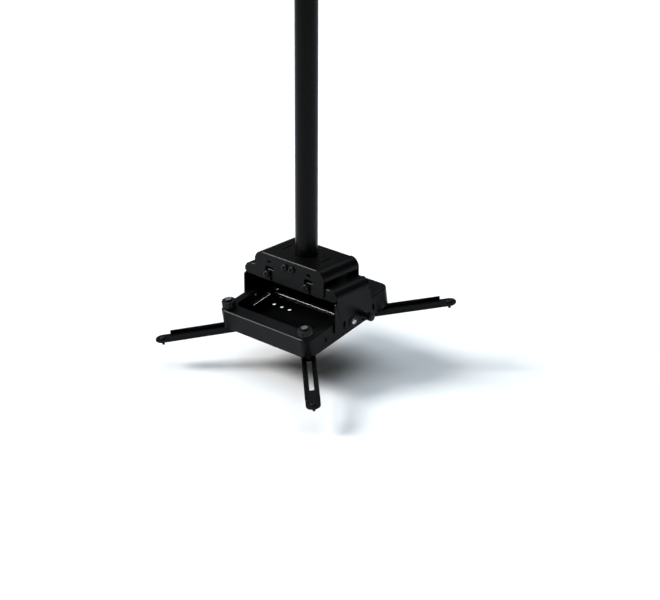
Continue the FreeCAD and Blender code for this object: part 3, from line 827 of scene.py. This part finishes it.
class Finishes:
    """All finishes of the mount, by use."""

    def __init__(self) -> None:
        """Builds every material."""
        groups = NodeGroups()
        self.coat = Finish(
            "satin_black_coat",
            light=(0.0019, 0.0019, 0.002),
            dark=(0.0013, 0.0013, 0.0014),
            smooth=0.31,
            rough=0.39,
            specular=0.1,
        ).material(groups)
        # Edge wear and painted highlight: a lighter, glossier copy of the coat on the rounded edges, partly
        # rubbed coat and partly the light that edges catch
        self.worn_edge_and_highlight = Finish(
            "coat_on_edges",
            light=(0.0034, 0.0034, 0.0036),
            dark=(0.0024, 0.0024, 0.0025),
            smooth=0.3,
            rough=0.38,
            specular=0.14,
        ).material(groups)
        # Painted highlight: a lighter, glossier copy of the coat, laid only on the folds so that they show
        # brighter highlight lines
        self.fold = Finish(
            "fold_highlight_coat",
            light=(0.0024, 0.0024, 0.0025),
            dark=(0.0017, 0.0017, 0.0018),
            smooth=0.27,
            rough=0.34,
            specular=0.18,
        ).material(groups)
        self.rod = Finish(
            "blackened_rod",
            light=(0.12, 0.12, 0.122),
            dark=(0.09, 0.09, 0.092),
            smooth=0.2,
            rough=0.27,
            specular=0.5,
            metallic=1.0,
            patch_scale=90.0,
            grain_scale=2500.0,
        ).material(groups)
        self.screw = Finish(
            "black_zinc",
            light=(0.014, 0.014, 0.0144),
            dark=(0.009, 0.009, 0.0093),
            smooth=0.26,
            rough=0.38,
            specular=0.25,
            metallic=0.6,
            patch_scale=200.0,
            grain_scale=2500.0,
            grain_depth=0.00003,
        ).material(groups)
        self.bright = Finish(
            "bright_zinc",
            light=(0.68, 0.68, 0.67),
            dark=(0.56, 0.56, 0.56),
            smooth=0.2,
            rough=0.34,
            specular=0.5,
            metallic=1.0,
            patch_scale=260.0,
            grain_scale=3000.0,
            grain_depth=0.00002,
        ).material(groups)
        self.nylon = Finish(
            "black_nylon",
            light=(0.012, 0.012, 0.012),
            dark=(0.008, 0.008, 0.008),
            smooth=0.5,
            rough=0.6,
            specular=0.2,
            patch_scale=80.0,
            grain_scale=2000.0,
        ).material(groups)
        self.knob = Finish(
            "moulded_black",
            light=(0.005, 0.005, 0.0052),
            dark=(0.0035, 0.0035, 0.0037),
            smooth=0.3,
            rough=0.42,
            specular=0.16,
            patch_scale=120.0,
            grain_scale=2600.0,
        ).material(groups)
        # Lighter grey, laid only on the flat top faces of the nut bosses
        self.boss_top = Finish(
            "grey_boss_top",
            light=(0.1, 0.1, 0.1),
            dark=(0.07, 0.07, 0.071),
            smooth=0.34,
            rough=0.46,
            specular=0.4,
            patch_scale=300.0,
            grain_scale=2600.0,
        ).material(groups)

    def of(self, slot: Slot) -> bpy.types.Material:
        """Finish of a record slot."""
        return {
            Slot.COAT: self.coat,
            Slot.SCREW: self.screw,
            Slot.BRIGHT: self.bright,
            Slot.NYLON: self.nylon,
            Slot.KNOB: self.knob,
        }[slot]


@dataclass
class Assembly:
    """One sub-assembly: it makes pieces, sets them on their bodies and dresses them.

    Attributes:
        finishes: Finishes of the mount.
        flat_angle: Angle in degrees below which faces count as one.
        edge_angle: Angle in degrees past which an edge is rounded.
        face_weight: How far large faces set the shading, out of 100.
        fold_side: Most that a fold's face may lean along the fold.
        fold_lean: Least that it leans towards both sides of the fold.
    """

    flat_angle: ClassVar[float] = 0.4
    edge_angle: ClassVar[float] = 35.0
    face_weight: ClassVar[int] = 100
    fold_side: ClassVar[float] = 0.2
    fold_lean: ClassVar[float] = 0.1
    finishes: Finishes

    def settle(self, piece: bpy.types.Object, body: str, slot: Slot, *nodes: str) -> None:
        """Sets a finished piece on its body and hides the nodes that it stands for.

        Args:
            piece: The piece.
            body: Body that it moves with.
            slot: Record slot of its finish; not used.
            nodes: Nodes of the frame that it replaces.
        """
        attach(piece, body)
        if nodes:
            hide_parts(*nodes)
        LOG.info("%s rides on %s, %d faces", piece.name, body, len(piece.data.polygons))

    def stand(
        self, part: Part, places: Iterable[Place], name: str, body: str, slot: Slot, *nodes: str
    ) -> bpy.types.Object:
        """Makes one piece from copies of a small part.

        Args:
            part: Part that is repeated.
            places: Where its copies stand.
            name: Name of the piece.
            body: Body that it moves with.
            slot: Record slot of its finish.
            nodes: Nodes of the frame that it replaces.

        Returns:
            The piece.
        """
        shape = Shape()
        for place in places:
            part.add_to(shape, place)
        piece = shape.build(name, self.finishes.of(slot))
        self.settle(piece, body, slot, *nodes)
        return piece

    def ease_edges(
        self, node: str, body: str, slot: Slot, width: float, axes: np.ndarray | None = None
    ) -> bpy.types.Object:
        """Replaces a node by a copy of its mesh whose sharp edges are rounded.

        Args:
            node: Node of the frame.
            body: Body that it moves with.
            slot: Record slot of its finish.
            width: Width of the rounding, in millimetres.
            axes: Axes of a folded sheet as columns, whose folds along X get a lighter, glossier coat as a
                painted highlight.

        Returns:
            The piece.
        """
        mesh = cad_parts[node].data.copy()
        mesh.name = node + "_eased"
        work = bmesh.new()
        work.from_mesh(mesh)
        bmesh.ops.remove_doubles(work, verts=work.verts, dist=SAME_PACKED_POINT)
        bmesh.ops.dissolve_limit(
            work,
            angle_limit=math.radians(self.flat_angle),
            verts=work.verts,
            edges=work.edges,
            use_dissolve_boundaries=False,
        )
        work.to_mesh(mesh)
        work.free()
        mesh.shade_smooth()
        mesh.materials.clear()
        mesh.materials.append(self.finishes.of(slot))
        mesh.materials.append(self.finishes.worn_edge_and_highlight)
        if axes is not None:
            self._paint_fold_highlights(mesh, axes)
        piece = bpy.data.objects.new(node + "_eased", mesh)
        bpy.context.scene.collection.objects.link(piece)
        bevel = piece.modifiers.new("eased edges", "BEVEL")
        bevel.width = width * MM
        bevel.segments = 2
        bevel.limit_method = "ANGLE"
        bevel.angle_limit = math.radians(self.edge_angle)
        bevel.use_clamp_overlap = False
        # Rounded edges take the lighter edge coat: wear and painted highlight
        bevel.material = 1
        shading = piece.modifiers.new("flat faces", "WEIGHTED_NORMAL")
        shading.weight = self.face_weight
        self.settle(piece, body, slot, node)
        return piece

    def _paint_fold_highlights(self, mesh: bpy.types.Mesh, axes: np.ndarray) -> None:
        """Gives faces that lean between the Y and Z axes of a sheet a lighter, glossier coat: a painted
        highlight along its folds.

        Args:
            mesh: Mesh of the sheet.
            axes: Axes of the sheet as columns.
        """
        normals = np.empty(len(mesh.polygons) * 3)
        mesh.polygons.foreach_get("normal", normals)
        lean = np.abs(normals.reshape(-1, 3) @ axes)
        folded = (lean[:, 0] < self.fold_side) & (lean[:, 1:] > self.fold_lean).all(axis=1)
        mesh.materials.append(self.finishes.fold)
        mesh.polygons.foreach_set("material_index", np.where(folded, 2, 0).astype(np.int32))
        mesh.update()


@dataclass
class CeilingEnd(Assembly):
    """Ceiling plate with its welded collar, pole and what carries the head on the pole."""

    plate_sheet: float = 4.0
    collar_height: float = 34.0
    collar_outer: float = 44.1
    plate_edge: float = 0.5
    nut_edge: float = 0.3
    weld_leg: float = 3.0
    weld_ripples: int = 60
    weld_rows: int = 7
    weld_bulge: float = 0.126
    weld_overlap: float = 0.3
    ripple_share: float = 0.012
    points_per_ripple: int = 6
    screw_count: int = 3
    first_screw: float = 90.0
    screw_turn: float = 20.0
    screw_gap: float = 0.05
    pole: Ring = Ring(28.0, 32.0, -447.6, -4.0, edge=0.5, columns=128)
    thrust_washer: Ring = Ring(32.1, 44.1, -443.6, -442.1, edge=0.3, columns=96)
    collar_screw: SetScrew = SetScrew(diameter=6.0, length=6.0, socket=3.0)

    def build(self) -> None:
        """Builds and dresses the pieces."""
        self.ease_edges("ceiling_plate", "ceiling", Slot.COAT, self.plate_edge)
        self.ease_edges("pole_nut", "ceiling", Slot.COAT, self.nut_edge)
        upright = Place.aimed((0, 0, 0), (0, 0, 1))
        self.stand(self.pole, [upright], "pole_tube", "ceiling", Slot.COAT, "pole")
        self.stand(self.thrust_washer, [upright], "thrust_ring", "ceiling", Slot.NYLON, "thrust_washer")
        screws = self._screw_places()
        self.stand(self.collar_screw, screws, "collar_set_screws", "ceiling", Slot.SCREW, "collar_screws")
        self._weld()

    def _screw_places(self) -> list[Place]:
        """Finds where the set screws stand, evenly around the collar.

        Returns:
            The places, each from the pole outwards.
        """
        level = np.array([0, 0, -self.plate_sheet - self.collar_height / 2])
        reach = self.pole.outer / 2 + self.screw_gap
        places = []
        for turn in turning(self.screw_count) + math.radians(self.first_screw):
            axis = np.array([math.cos(turn), math.sin(turn), 0])
            places.append(Place.aimed((axis * reach + level) * MM, axis, self.screw_turn))
        return places

    def _weld(self) -> None:
        """Weld between plate and collar: a hollow triangle turned about Z, with ripples along the seam."""
        angles = turning(self.weld_ripples * self.points_per_ripple)
        inner, leg = self.collar_outer / 2, self.weld_leg
        s = np.linspace(0, 1, self.weld_rows)
        bulge = self.weld_bulge * leg * np.sin(math.pi * s)
        face = np.stack([inner + leg * (1 - s) - bulge, -self.plate_sheet - leg * s + bulge], -1)
        root = inner - self.weld_overlap
        profile = np.vstack([[(root, self.weld_overlap - self.plate_sheet)], face, [(root, face[-1, 1])]])
        profile = np.vstack([profile, profile[:1]]) * MM
        ripple = self.ripple_share * np.abs(np.sin(self.weld_ripples / 2 * angles))
        weight = np.zeros(len(profile))
        weight[1 : 1 + len(s)] = np.sin(math.pi * s)
        shape = Shape()
        factors = 1 + weight[:, None] * ripple
        shape.add_grid(lathe(profile, factors, Place.aimed((0, 0, 0), (0, 0, 1)), angles))
        self.settle(shape.build("collar_weld", self.finishes.coat), "ceiling", Slot.COAT)


@dataclass
class Head(Assembly):
    """Upper bracket with its swivel block, and the yoke that hangs in it."""

    top: float = -425.0
    depth: float = 75.0
    hook_half_pitch: float = 37.2
    hook_shift: float = 9.0
    hook_drop: float = 31.0
    block_half_pitch: float = 6.8
    block_screw_drop: float = 11.7
    nut_inset: float = 9.2
    turn_step: float = 17.0
    bracket_edge: float = 0.2
    yoke_edge: float = 0.25
    block_edge: float = 0.5
    hook_screw: DomedScrew = DomedScrew(thread=6.0, head=10.5, height=3.3, length=10.2)
    block_screw: DomedScrew = DomedScrew(thread=6.0, head=10.5, height=3.3, length=14.0)
    hook_nut: HexNut = HexNut(flats=10.0, height=5.0, bore=6.1)

    def build(self) -> None:
        """Builds and dresses the pieces."""
        self.ease_edges("upper_bracket", "head", Slot.COAT, self.bracket_edge, np.eye(3))
        self.ease_edges("yoke", "head", Slot.COAT, self.yoke_edge, np.eye(3))
        self.ease_edges("pole_block", "head", Slot.COAT, self.block_edge)
        middle = -self.hook_shift / 2
        hooks = self._seats(middle, self.hook_half_pitch, self.hook_drop, 0.0)
        insides = self._seats(middle, self.hook_half_pitch, self.hook_drop, self.nut_inset)
        centres = self._seats(0.0, self.block_half_pitch, self.block_screw_drop, 0.0)
        self.stand(self.hook_screw, hooks, "hook_screws_domed", "head", Slot.SCREW, "hook_screws")
        self.stand(self.hook_nut, insides, "hook_nuts_chamfered", "head", Slot.SCREW, "hook_nuts")
        self.stand(self.block_screw, centres, "block_screws_domed", "head", Slot.SCREW, "block_screws")

    def _seats(self, middle: float, half_pitch: float, drop: float, inset: float) -> list[Place]:
        """Places on both flanges that face outwards.

        Args:
            middle: Middle of the two places of a flange along X, in millimetres.
            half_pitch: Half of the distance between them, in millimetres.
            drop: Distance below the head's top, in millimetres.
            inset: Distance inside the flange's outer face, in millimetres.

        Returns:
            The places, each turned a little further than the one before.
        """
        places = []
        for facing in (-1, 1):
            for side in (-1, 1):
                out = facing * (self.depth / 2 - inset)
                point = np.array([middle + side * half_pitch, out, self.top - drop])
                places.append(Place.aimed(point * MM, (0, facing, 0), self.turn_step * len(places)))
        return places


@dataclass
class Tray(Assembly):
    """Tilting tray with its floor, pivot rod, locks and the sleeves at its corners."""

    half_width: float = 85.4
    sheet: float = 2.0
    yoke_outside: float = 88.1
    setback: float = 3.8
    depth: float = 14.5
    lock_radius: float = 22.0
    corner_places: tuple[tuple[float, float], ...] = (
        (-73.4, -77.0),
        (73.4, -77.0),
        (-66.0, 52.6),
        (66.0, 52.6),
    )
    corner_washer: Ring = Ring(6.1, 20.0, 0.0, 1.2, edge=0.3)
    corner_spacer: Ring = Ring(6.1, 11.1, -27.0, -2.0, edge=0.3)
    pivot_spacer: Ring = Ring(8.1, 18.0, 0.05, 0.55, edge=0.1)
    pivot_washer: Ring = Ring(4.1, 15.0, 0.0, 1.2, edge=0.3)
    pivot_screw: DomedScrew = DomedScrew(thread=4.0, head=7.6, height=2.2, length=13.2, pitch=0.7)
    lock_washer: Ring = Ring(4.1, 11.0, 2.7, 3.7, edge=0.25)
    lock_nut: HexNut = HexNut(flats=7.0, height=3.2, bore=4.1)
    lock_stud: SetScrew = SetScrew(diameter=4.0, length=16.9, socket=2.0)
    shell_edge: float = 0.3
    floor_edge: float = 0.15
    side_turn: float = 11.0
    knob_gap: float = 0.1
    rod_radius: float = 4.0
    rod_chamfer: float = 0.5
    rod_columns: int = 64
    notch_edge: float = 81.3
    notch_reach: float = 0.1
    notch_clearing: float = 0.5
    lock_knob: GripKnob = GripKnob(
        (
            (0, 8.0, 0),
            (2.05, 8.0, 0.2),
            (2.05, 0, 0.2),
            (3.75, 0, 0.4),
            (3.75, 7.5, 0.5),
            (6.0, 7.5, 2.2),
            (6.0, 16.5, 2.6),
            (0, 16.5, 0),
        ),
        grip_low=8.6,
        grip_high=15.2,
        flutes=18,
        depth=0.3,
        fade=1.2,
        grip_radius=6.0,
    )

    def build(self) -> None:
        """Builds and dresses the pieces."""
        self.ease_edges("tray_shell", "tray", Slot.COAT, self.shell_edge, TRAY_FRAME.axes)
        floor = self.ease_edges("tray_floor", "tray", Slot.COAT, self.floor_edge)
        self._clear_slit(floor.data)
        corners = [TRAY_FRAME.place((x * MM, y * MM, 0), (0, 0, 1)) for x, y in self.corner_places]
        self.stand(self.corner_washer, corners, "corner_washer_rings", "tray", Slot.SCREW, "corner_washers")
        self.stand(self.corner_spacer, corners, "corner_sleeves", "tray", Slot.COAT, "corner_spacers")
        walls = self._side_places(self.setback, self.half_width)
        legs = self._side_places(self.setback, self.yoke_outside)
        heads = self._side_places(self.setback, self.yoke_outside + self.pivot_washer.high)
        self.stand(self.pivot_spacer, walls, "pivot_spacer_rings", "tray", Slot.NYLON, "pivot_spacers")
        self.stand(self.pivot_washer, legs, "pivot_washer_rings", "tray", Slot.SCREW, "pivot_washers")
        self.stand(self.pivot_screw, heads, "pivot_screws_domed", "tray", Slot.BRIGHT, "pivot_screws")
        self._rod()
        back = self.setback + self.lock_radius
        locks = self._side_places(back, self.half_width)
        inner = self._side_places(back, self.half_width - self.sheet - self.lock_nut.height)
        self.stand(self.lock_washer, locks, "lock_washer_rings", "tray", Slot.SCREW, "lock_washers")
        self.stand(self.lock_nut, inner, "lock_nuts_chamfered", "tray", Slot.SCREW, "lock_nuts")
        self.stand(self.lock_stud, inner, "lock_stud_pins", "tray", Slot.SCREW, "lock_studs")
        knobs = self._side_places(back, self.half_width + self.lock_washer.high + self.knob_gap)
        for name, place in zip(("left", "right"), knobs):
            self.stand(
                self.lock_knob, [place], "grip_knob_" + name, "knob_" + name, Slot.KNOB, "lock_knob_" + name
            )

    def _side_places(self, back: float, out: float) -> list[Place]:
        """Places left and right of the tray on the pivot's level, facing outwards.

        Args:
            back: Distance behind the tray's middle, in millimetres.
            out: Distance from the tray's middle plane, in millimetres.

        Returns:
            The left place and the right one.
        """
        places = []
        for side in (-1, 1):
            point = np.array([side * out, back, -self.depth]) * MM
            places.append(TRAY_FRAME.place(point, (side, 0, 0), self.side_turn))
        return places

    def _clear_slit(self, mesh: bpy.types.Mesh) -> None:
        """Sets the floor's notches a little deeper, so that light shows past them.

        Points on a notch's edge move inwards along the tray's X axis.

        Args:
            mesh: Mesh of the floor.
        """
        points = np.empty(len(mesh.vertices) * 3)
        mesh.vertices.foreach_get("co", points)
        middle = TRAY_FRAME.point(0, 0, 0)
        local = (points.reshape(-1, 3) - middle) @ TRAY_FRAME.axes
        on_edge = np.abs(np.abs(local[:, 0]) - self.notch_edge * MM) < self.notch_reach * MM
        local[on_edge, 0] -= np.sign(local[on_edge, 0]) * self.notch_clearing * MM
        LOG.info("%d points of the floor cleared", int(on_edge.sum()))
        mesh.vertices.foreach_set("co", (middle + local @ TRAY_FRAME.axes.T).ravel())
        mesh.update()

    def _rod(self) -> None:
        """Pivot rod turned from half its outline, with chamfered ends."""
        half, radius, chamfer = self.yoke_outside, self.rod_radius, self.rod_chamfer
        profile = np.array(
            [
                (0, -half),
                (radius - chamfer, -half),
                (radius, chamfer - half),
                (radius, half - chamfer),
                (radius - chamfer, half),
                (0, half),
            ]
        )
        shape = Shape()
        place = TRAY_FRAME.place((0, self.setback * MM, -self.depth * MM), (1, 0, 0))
        shape.add_grid(plain_lathe(profile * MM, place, self.rod_columns))
        self.settle(shape.build("pivot_rod_turned", self.finishes.rod), "tray", Slot.COAT, "pivot_rod")


@dataclass(frozen=True)
class ArmSetting:
    """Where one arm is clamped: its bolt in the tray's plan, its direction and its inner overhang."""

    x: float
    y: float
    turn: float
    tail: float


@dataclass
class Arms(Assembly):
    """Four arms with their clamps, thumb nuts and screws."""

    length: float = 150.0
    width: float = 20.4
    tab_level: float = -34.6
    edge: float = 0.25
    boss_top_radius: float = 4.6
    boss_top_height: float = 13.6
    bolt: CarriageBolt = CarriageBolt(
        shank=6.0, head=14.0, neck=6.2, foot=-38.9, seat=-36.7, neck_top=-34.6, top=9.5
    )
    tab_screw: DomedScrew = DomedScrew(
        thread=4.0, head=7.6, height=2.4, length=10.0, pitch=0.7, shoulder=4.8, grip=2.0
    )
    thumb_nut: GripKnob = GripKnob(
        (
            (0, 9.7, 0),
            (3.05, 9.7, 0.3),
            (3.05, 1.3, 0.4),
            (8.5, 1.3, 0.4),
            (8.5, 3.1, 0.3),
            (10.2, 3.1, 0.5),
            (10.2, 11.6, 1.3),
            (6.3, 11.6, 0.3),
            (6.0, 11.2, 0.2),
            (5.1, 11.2, 0.2),
            (5.0, 14.2, 0.7),
            (1.6, 14.2, 0.3),
            (1.2, 13.8, 0.3),
            (0, 13.8, 0),
        ),
        grip_low=3.2,
        grip_high=12.4,
        flutes=12,
        depth=0.9,
        fade=0.8,
        grip_radius=10.2,
    )
    settings: dict[Corner, ArmSetting] = field(
        default_factory=lambda: {
            Corner.FRONT_LEFT: ArmSetting(-73.4, -77.0, 228.0, 38.0),
            Corner.FRONT_RIGHT: ArmSetting(73.4, -77.0, -45.0, 23.0),
            Corner.REAR_LEFT: ArmSetting(-66.0, 52.6, 133.5, 18.5),
            Corner.REAR_RIGHT: ArmSetting(66.0, 52.6, 46.5, 18.5),
        }
    )

    def build(self) -> None:
        """Builds and dresses the pieces of each corner."""
        for corner, setting in self.settings.items():
            name = corner.value
            turn = math.radians(setting.turn)
            spot = (setting.x * MM, setting.y * MM, 0)
            place = TRAY_FRAME.place(spot, (0, 0, 1), setting.turn)
            upright = TRAY_FRAME.place(spot, (0, 0, 1))
            bolt, nut, arm = "clamp_" + name, "nut_" + name, "arm_" + name
            self.stand(self.bolt, [place], "clamp_bolt_" + name, bolt, Slot.SCREW, "corner_bolt_" + name)
            piece = self.stand(
                self.thumb_nut, [upright], "grip_nut_" + name, nut, Slot.KNOB, "thumb_nut_" + name
            )
            self._grey_boss_top(piece, upright)
            self.ease_edges(arm, arm, Slot.COAT, self.edge)
            reach = self.length - self.width / 2 - setting.tail
            tip = (setting.x + reach * math.cos(turn), setting.y + reach * math.sin(turn), self.tab_level)
            seat = TRAY_FRAME.place(np.array(tip) * MM, (0, 0, 1), setting.turn)
            self.stand(self.tab_screw, [seat], "tab_screw_" + name, arm, Slot.SCREW, "arm_screw_" + name)

    def _grey_boss_top(self, piece: bpy.types.Object, place: Place) -> None:
        """Gives the flat top faces of a nut's boss a lighter grey finish.

        Args:
            piece: The nut.
            place: Place where the nut stands.
        """
        mesh = piece.data
        mesh.materials.append(self.finishes.boss_top)
        centres = np.empty(len(mesh.polygons) * 3)
        mesh.polygons.foreach_get("center", centres)
        local = (centres.reshape(-1, 3) - place.origin) @ place.axes / MM
        inside = np.hypot(local[:, 0], local[:, 1]) < self.boss_top_radius
        on_top = inside & (local[:, 2] > self.boss_top_height)
        mesh.polygons.foreach_set("material_index", on_top.astype(np.int32))
        mesh.update()


@dataclass(frozen=True)
class StudioLight:
    """Light that faces the mount.

    Attributes:
        name: Name of the light.
        towards: Direction from the mount to the light.
    """

    name: str
    towards: tuple[float, float, float]

    def hang(self, data: bpy.types.Light, centre: Vector, distance: float) -> None:
        """Hangs the light so that it faces a point.

        Args:
            data: The light's own settings.
            centre: Point that it faces.
            distance: Distance from that point, in metres.
        """
        light = bpy.data.objects.new(self.name, data)
        away = Vector(self.towards).normalized()
        light.location = centre + away * distance
        light.rotation_euler = away.to_track_quat("Z", "Y").to_euler()
        bpy.context.scene.collection.objects.link(light)


@dataclass(frozen=True)
class SoftBox(StudioLight):
    """Square light of some size, for soft shadows.

    Attributes:
        distance: Distance from the mount, in metres.
        side: Side of the light, in metres.
        power: Power of the light, in watts.
        tint: Colour of the light.
    """

    distance: float
    side: float
    power: float
    tint: tuple[float, float, float]

    def build(self, centre: Vector) -> None:
        """Makes the light.

        Args:
            centre: Point that the light faces.
        """
        data = bpy.data.lights.new(self.name, "AREA")
        data.shape = "SQUARE"
        data.size = self.side
        data.energy = self.power
        data.color = self.tint
        self.hang(data, centre, self.distance)


@dataclass(frozen=True)
class FarLight(StudioLight):
    """Distant light that falls evenly on the whole floor.

    Attributes:
        spread: Angle that the light takes up, in degrees.
        strength: Light on a surface that faces it, in watts per square metre.
    """

    spread: float
    strength: float

    def build(self, centre: Vector) -> None:
        """Makes the light.

        Args:
            centre: Point that the light is aimed at.
        """
        data = bpy.data.lights.new(self.name, "SUN")
        data.angle = math.radians(self.spread)
        data.energy = self.strength
        self.hang(data, centre, 1.0)


@dataclass
class Studio:
    """Camera, lights, surroundings and floor."""

    camera_place: tuple[float, float, float] = (1.50213, -1.64121, 0.47501)
    azimuth: float = 42.36
    elevation: float = 23.59
    focal_pixels: float = 1700.0
    centre_pixel: float = 309.48
    sensor_width: float = 36.0
    floor_gap: float = 0.03
    floor_half: float = 9.0
    floor_points: int = 9
    surround: float = 0.07
    horizon: float = 0.75
    horizon_band: tuple[float, float] = (0.02, 0.16)
    floor_colour: float = 0.87
    floor_roughness: float = 0.9
    floor_specular: float = 0.1
    light_target: tuple[float, float, float] = (0.0, 0.0, -0.45)
    lights: tuple[SoftBox | FarLight, ...] = (
        FarLight("key", (-0.617, -0.45, 0.645), spread=24.0, strength=3.5),
        SoftBox("top", (-0.1, 0.15, 1.0), distance=4.0, side=4.5, power=150.0, tint=(0.85, 0.97, 1.06)),
    )

    def build(self) -> None:
        """Builds the studio."""
        self._camera()
        self._world()
        self._floor()
        for light in self.lights:
            light.build(Vector(self.light_target))

    def _camera(self) -> None:
        """Camera at the photograph's viewing angle, with its off-centre frame as a shift."""
        data = bpy.data.cameras.new("camera")
        data.sensor_width = self.sensor_width
        data.lens = self.focal_pixels * self.sensor_width / IMAGE_WIDTH
        data.shift_x = (IMAGE_WIDTH / 2 - self.centre_pixel) / IMAGE_WIDTH
        camera = bpy.data.objects.new("camera", data)
        camera.location = self.camera_place
        camera.rotation_euler = (math.radians(90 - self.elevation), 0, math.radians(self.azimuth))
        bpy.context.scene.collection.objects.link(camera)
        bpy.context.scene.camera = camera

    def _world(self) -> None:
        """Grey surroundings with a pale horizon, and plain colour for the picture."""
        world = bpy.data.worlds.new("surroundings")
        world.use_nodes = True
        tree = world.node_tree
        direction = tree.nodes.new("ShaderNodeTexCoord")
        parts = tree.nodes.new("ShaderNodeSeparateXYZ")
        fade = tree.nodes.new("ShaderNodeMapRange")
        fade.interpolation_type = "SMOOTHSTEP"
        fade.inputs["From Min"].default_value = self.horizon_band[0]
        fade.inputs["From Max"].default_value = self.horizon_band[1]
        fade.inputs["To Min"].default_value = self.horizon
        fade.inputs["To Max"].default_value = self.surround
        tree.links.new(direction.outputs["Generated"], parts.inputs["Vector"])
        tree.links.new(parts.outputs["Z"], fade.inputs["Value"])
        tree.links.new(fade.outputs["Result"], tree.nodes["Background"].inputs["Color"])
        bpy.context.scene.world = world
        bpy.context.scene.view_settings.view_transform = "Standard"

    def _floor(self) -> None:
        """Large flat floor as a grid, in a pale finish."""
        steps = np.linspace(-self.floor_half, self.floor_half, self.floor_points)
        x, y = np.meshgrid(steps, steps, indexing="ij")
        level = np.full_like(x, CAD_BOX[0][2] - self.floor_gap)
        shape = Shape()
        shape.add_grid(np.stack([x, y, level], -1), wrap=False)
        material = bpy.data.materials.new("pale_floor")
        material.use_nodes = True
        shader = material.node_tree.nodes["Principled BSDF"]
        shader.inputs["Base Color"].default_value = (self.floor_colour,) * 3 + (1,)
        shader.inputs["Roughness"].default_value = self.floor_roughness
        shader.inputs["Specular IOR Level"].default_value = self.floor_specular
        shape.build("floor", material)


def main() -> None:
    """Builds the studio and then each sub-assembly in order."""
    logging.basicConfig(level=logging.INFO, format="%(name)s: %(message)s")
    Studio().build()
    finishes = Finishes()
    for assembly in (CeilingEnd(finishes), Head(finishes), Tray(finishes), Arms(finishes)):
        assembly.build()
        LOG.info("%s built", type(assembly).__name__)


if __name__ == "__main__":
    main()
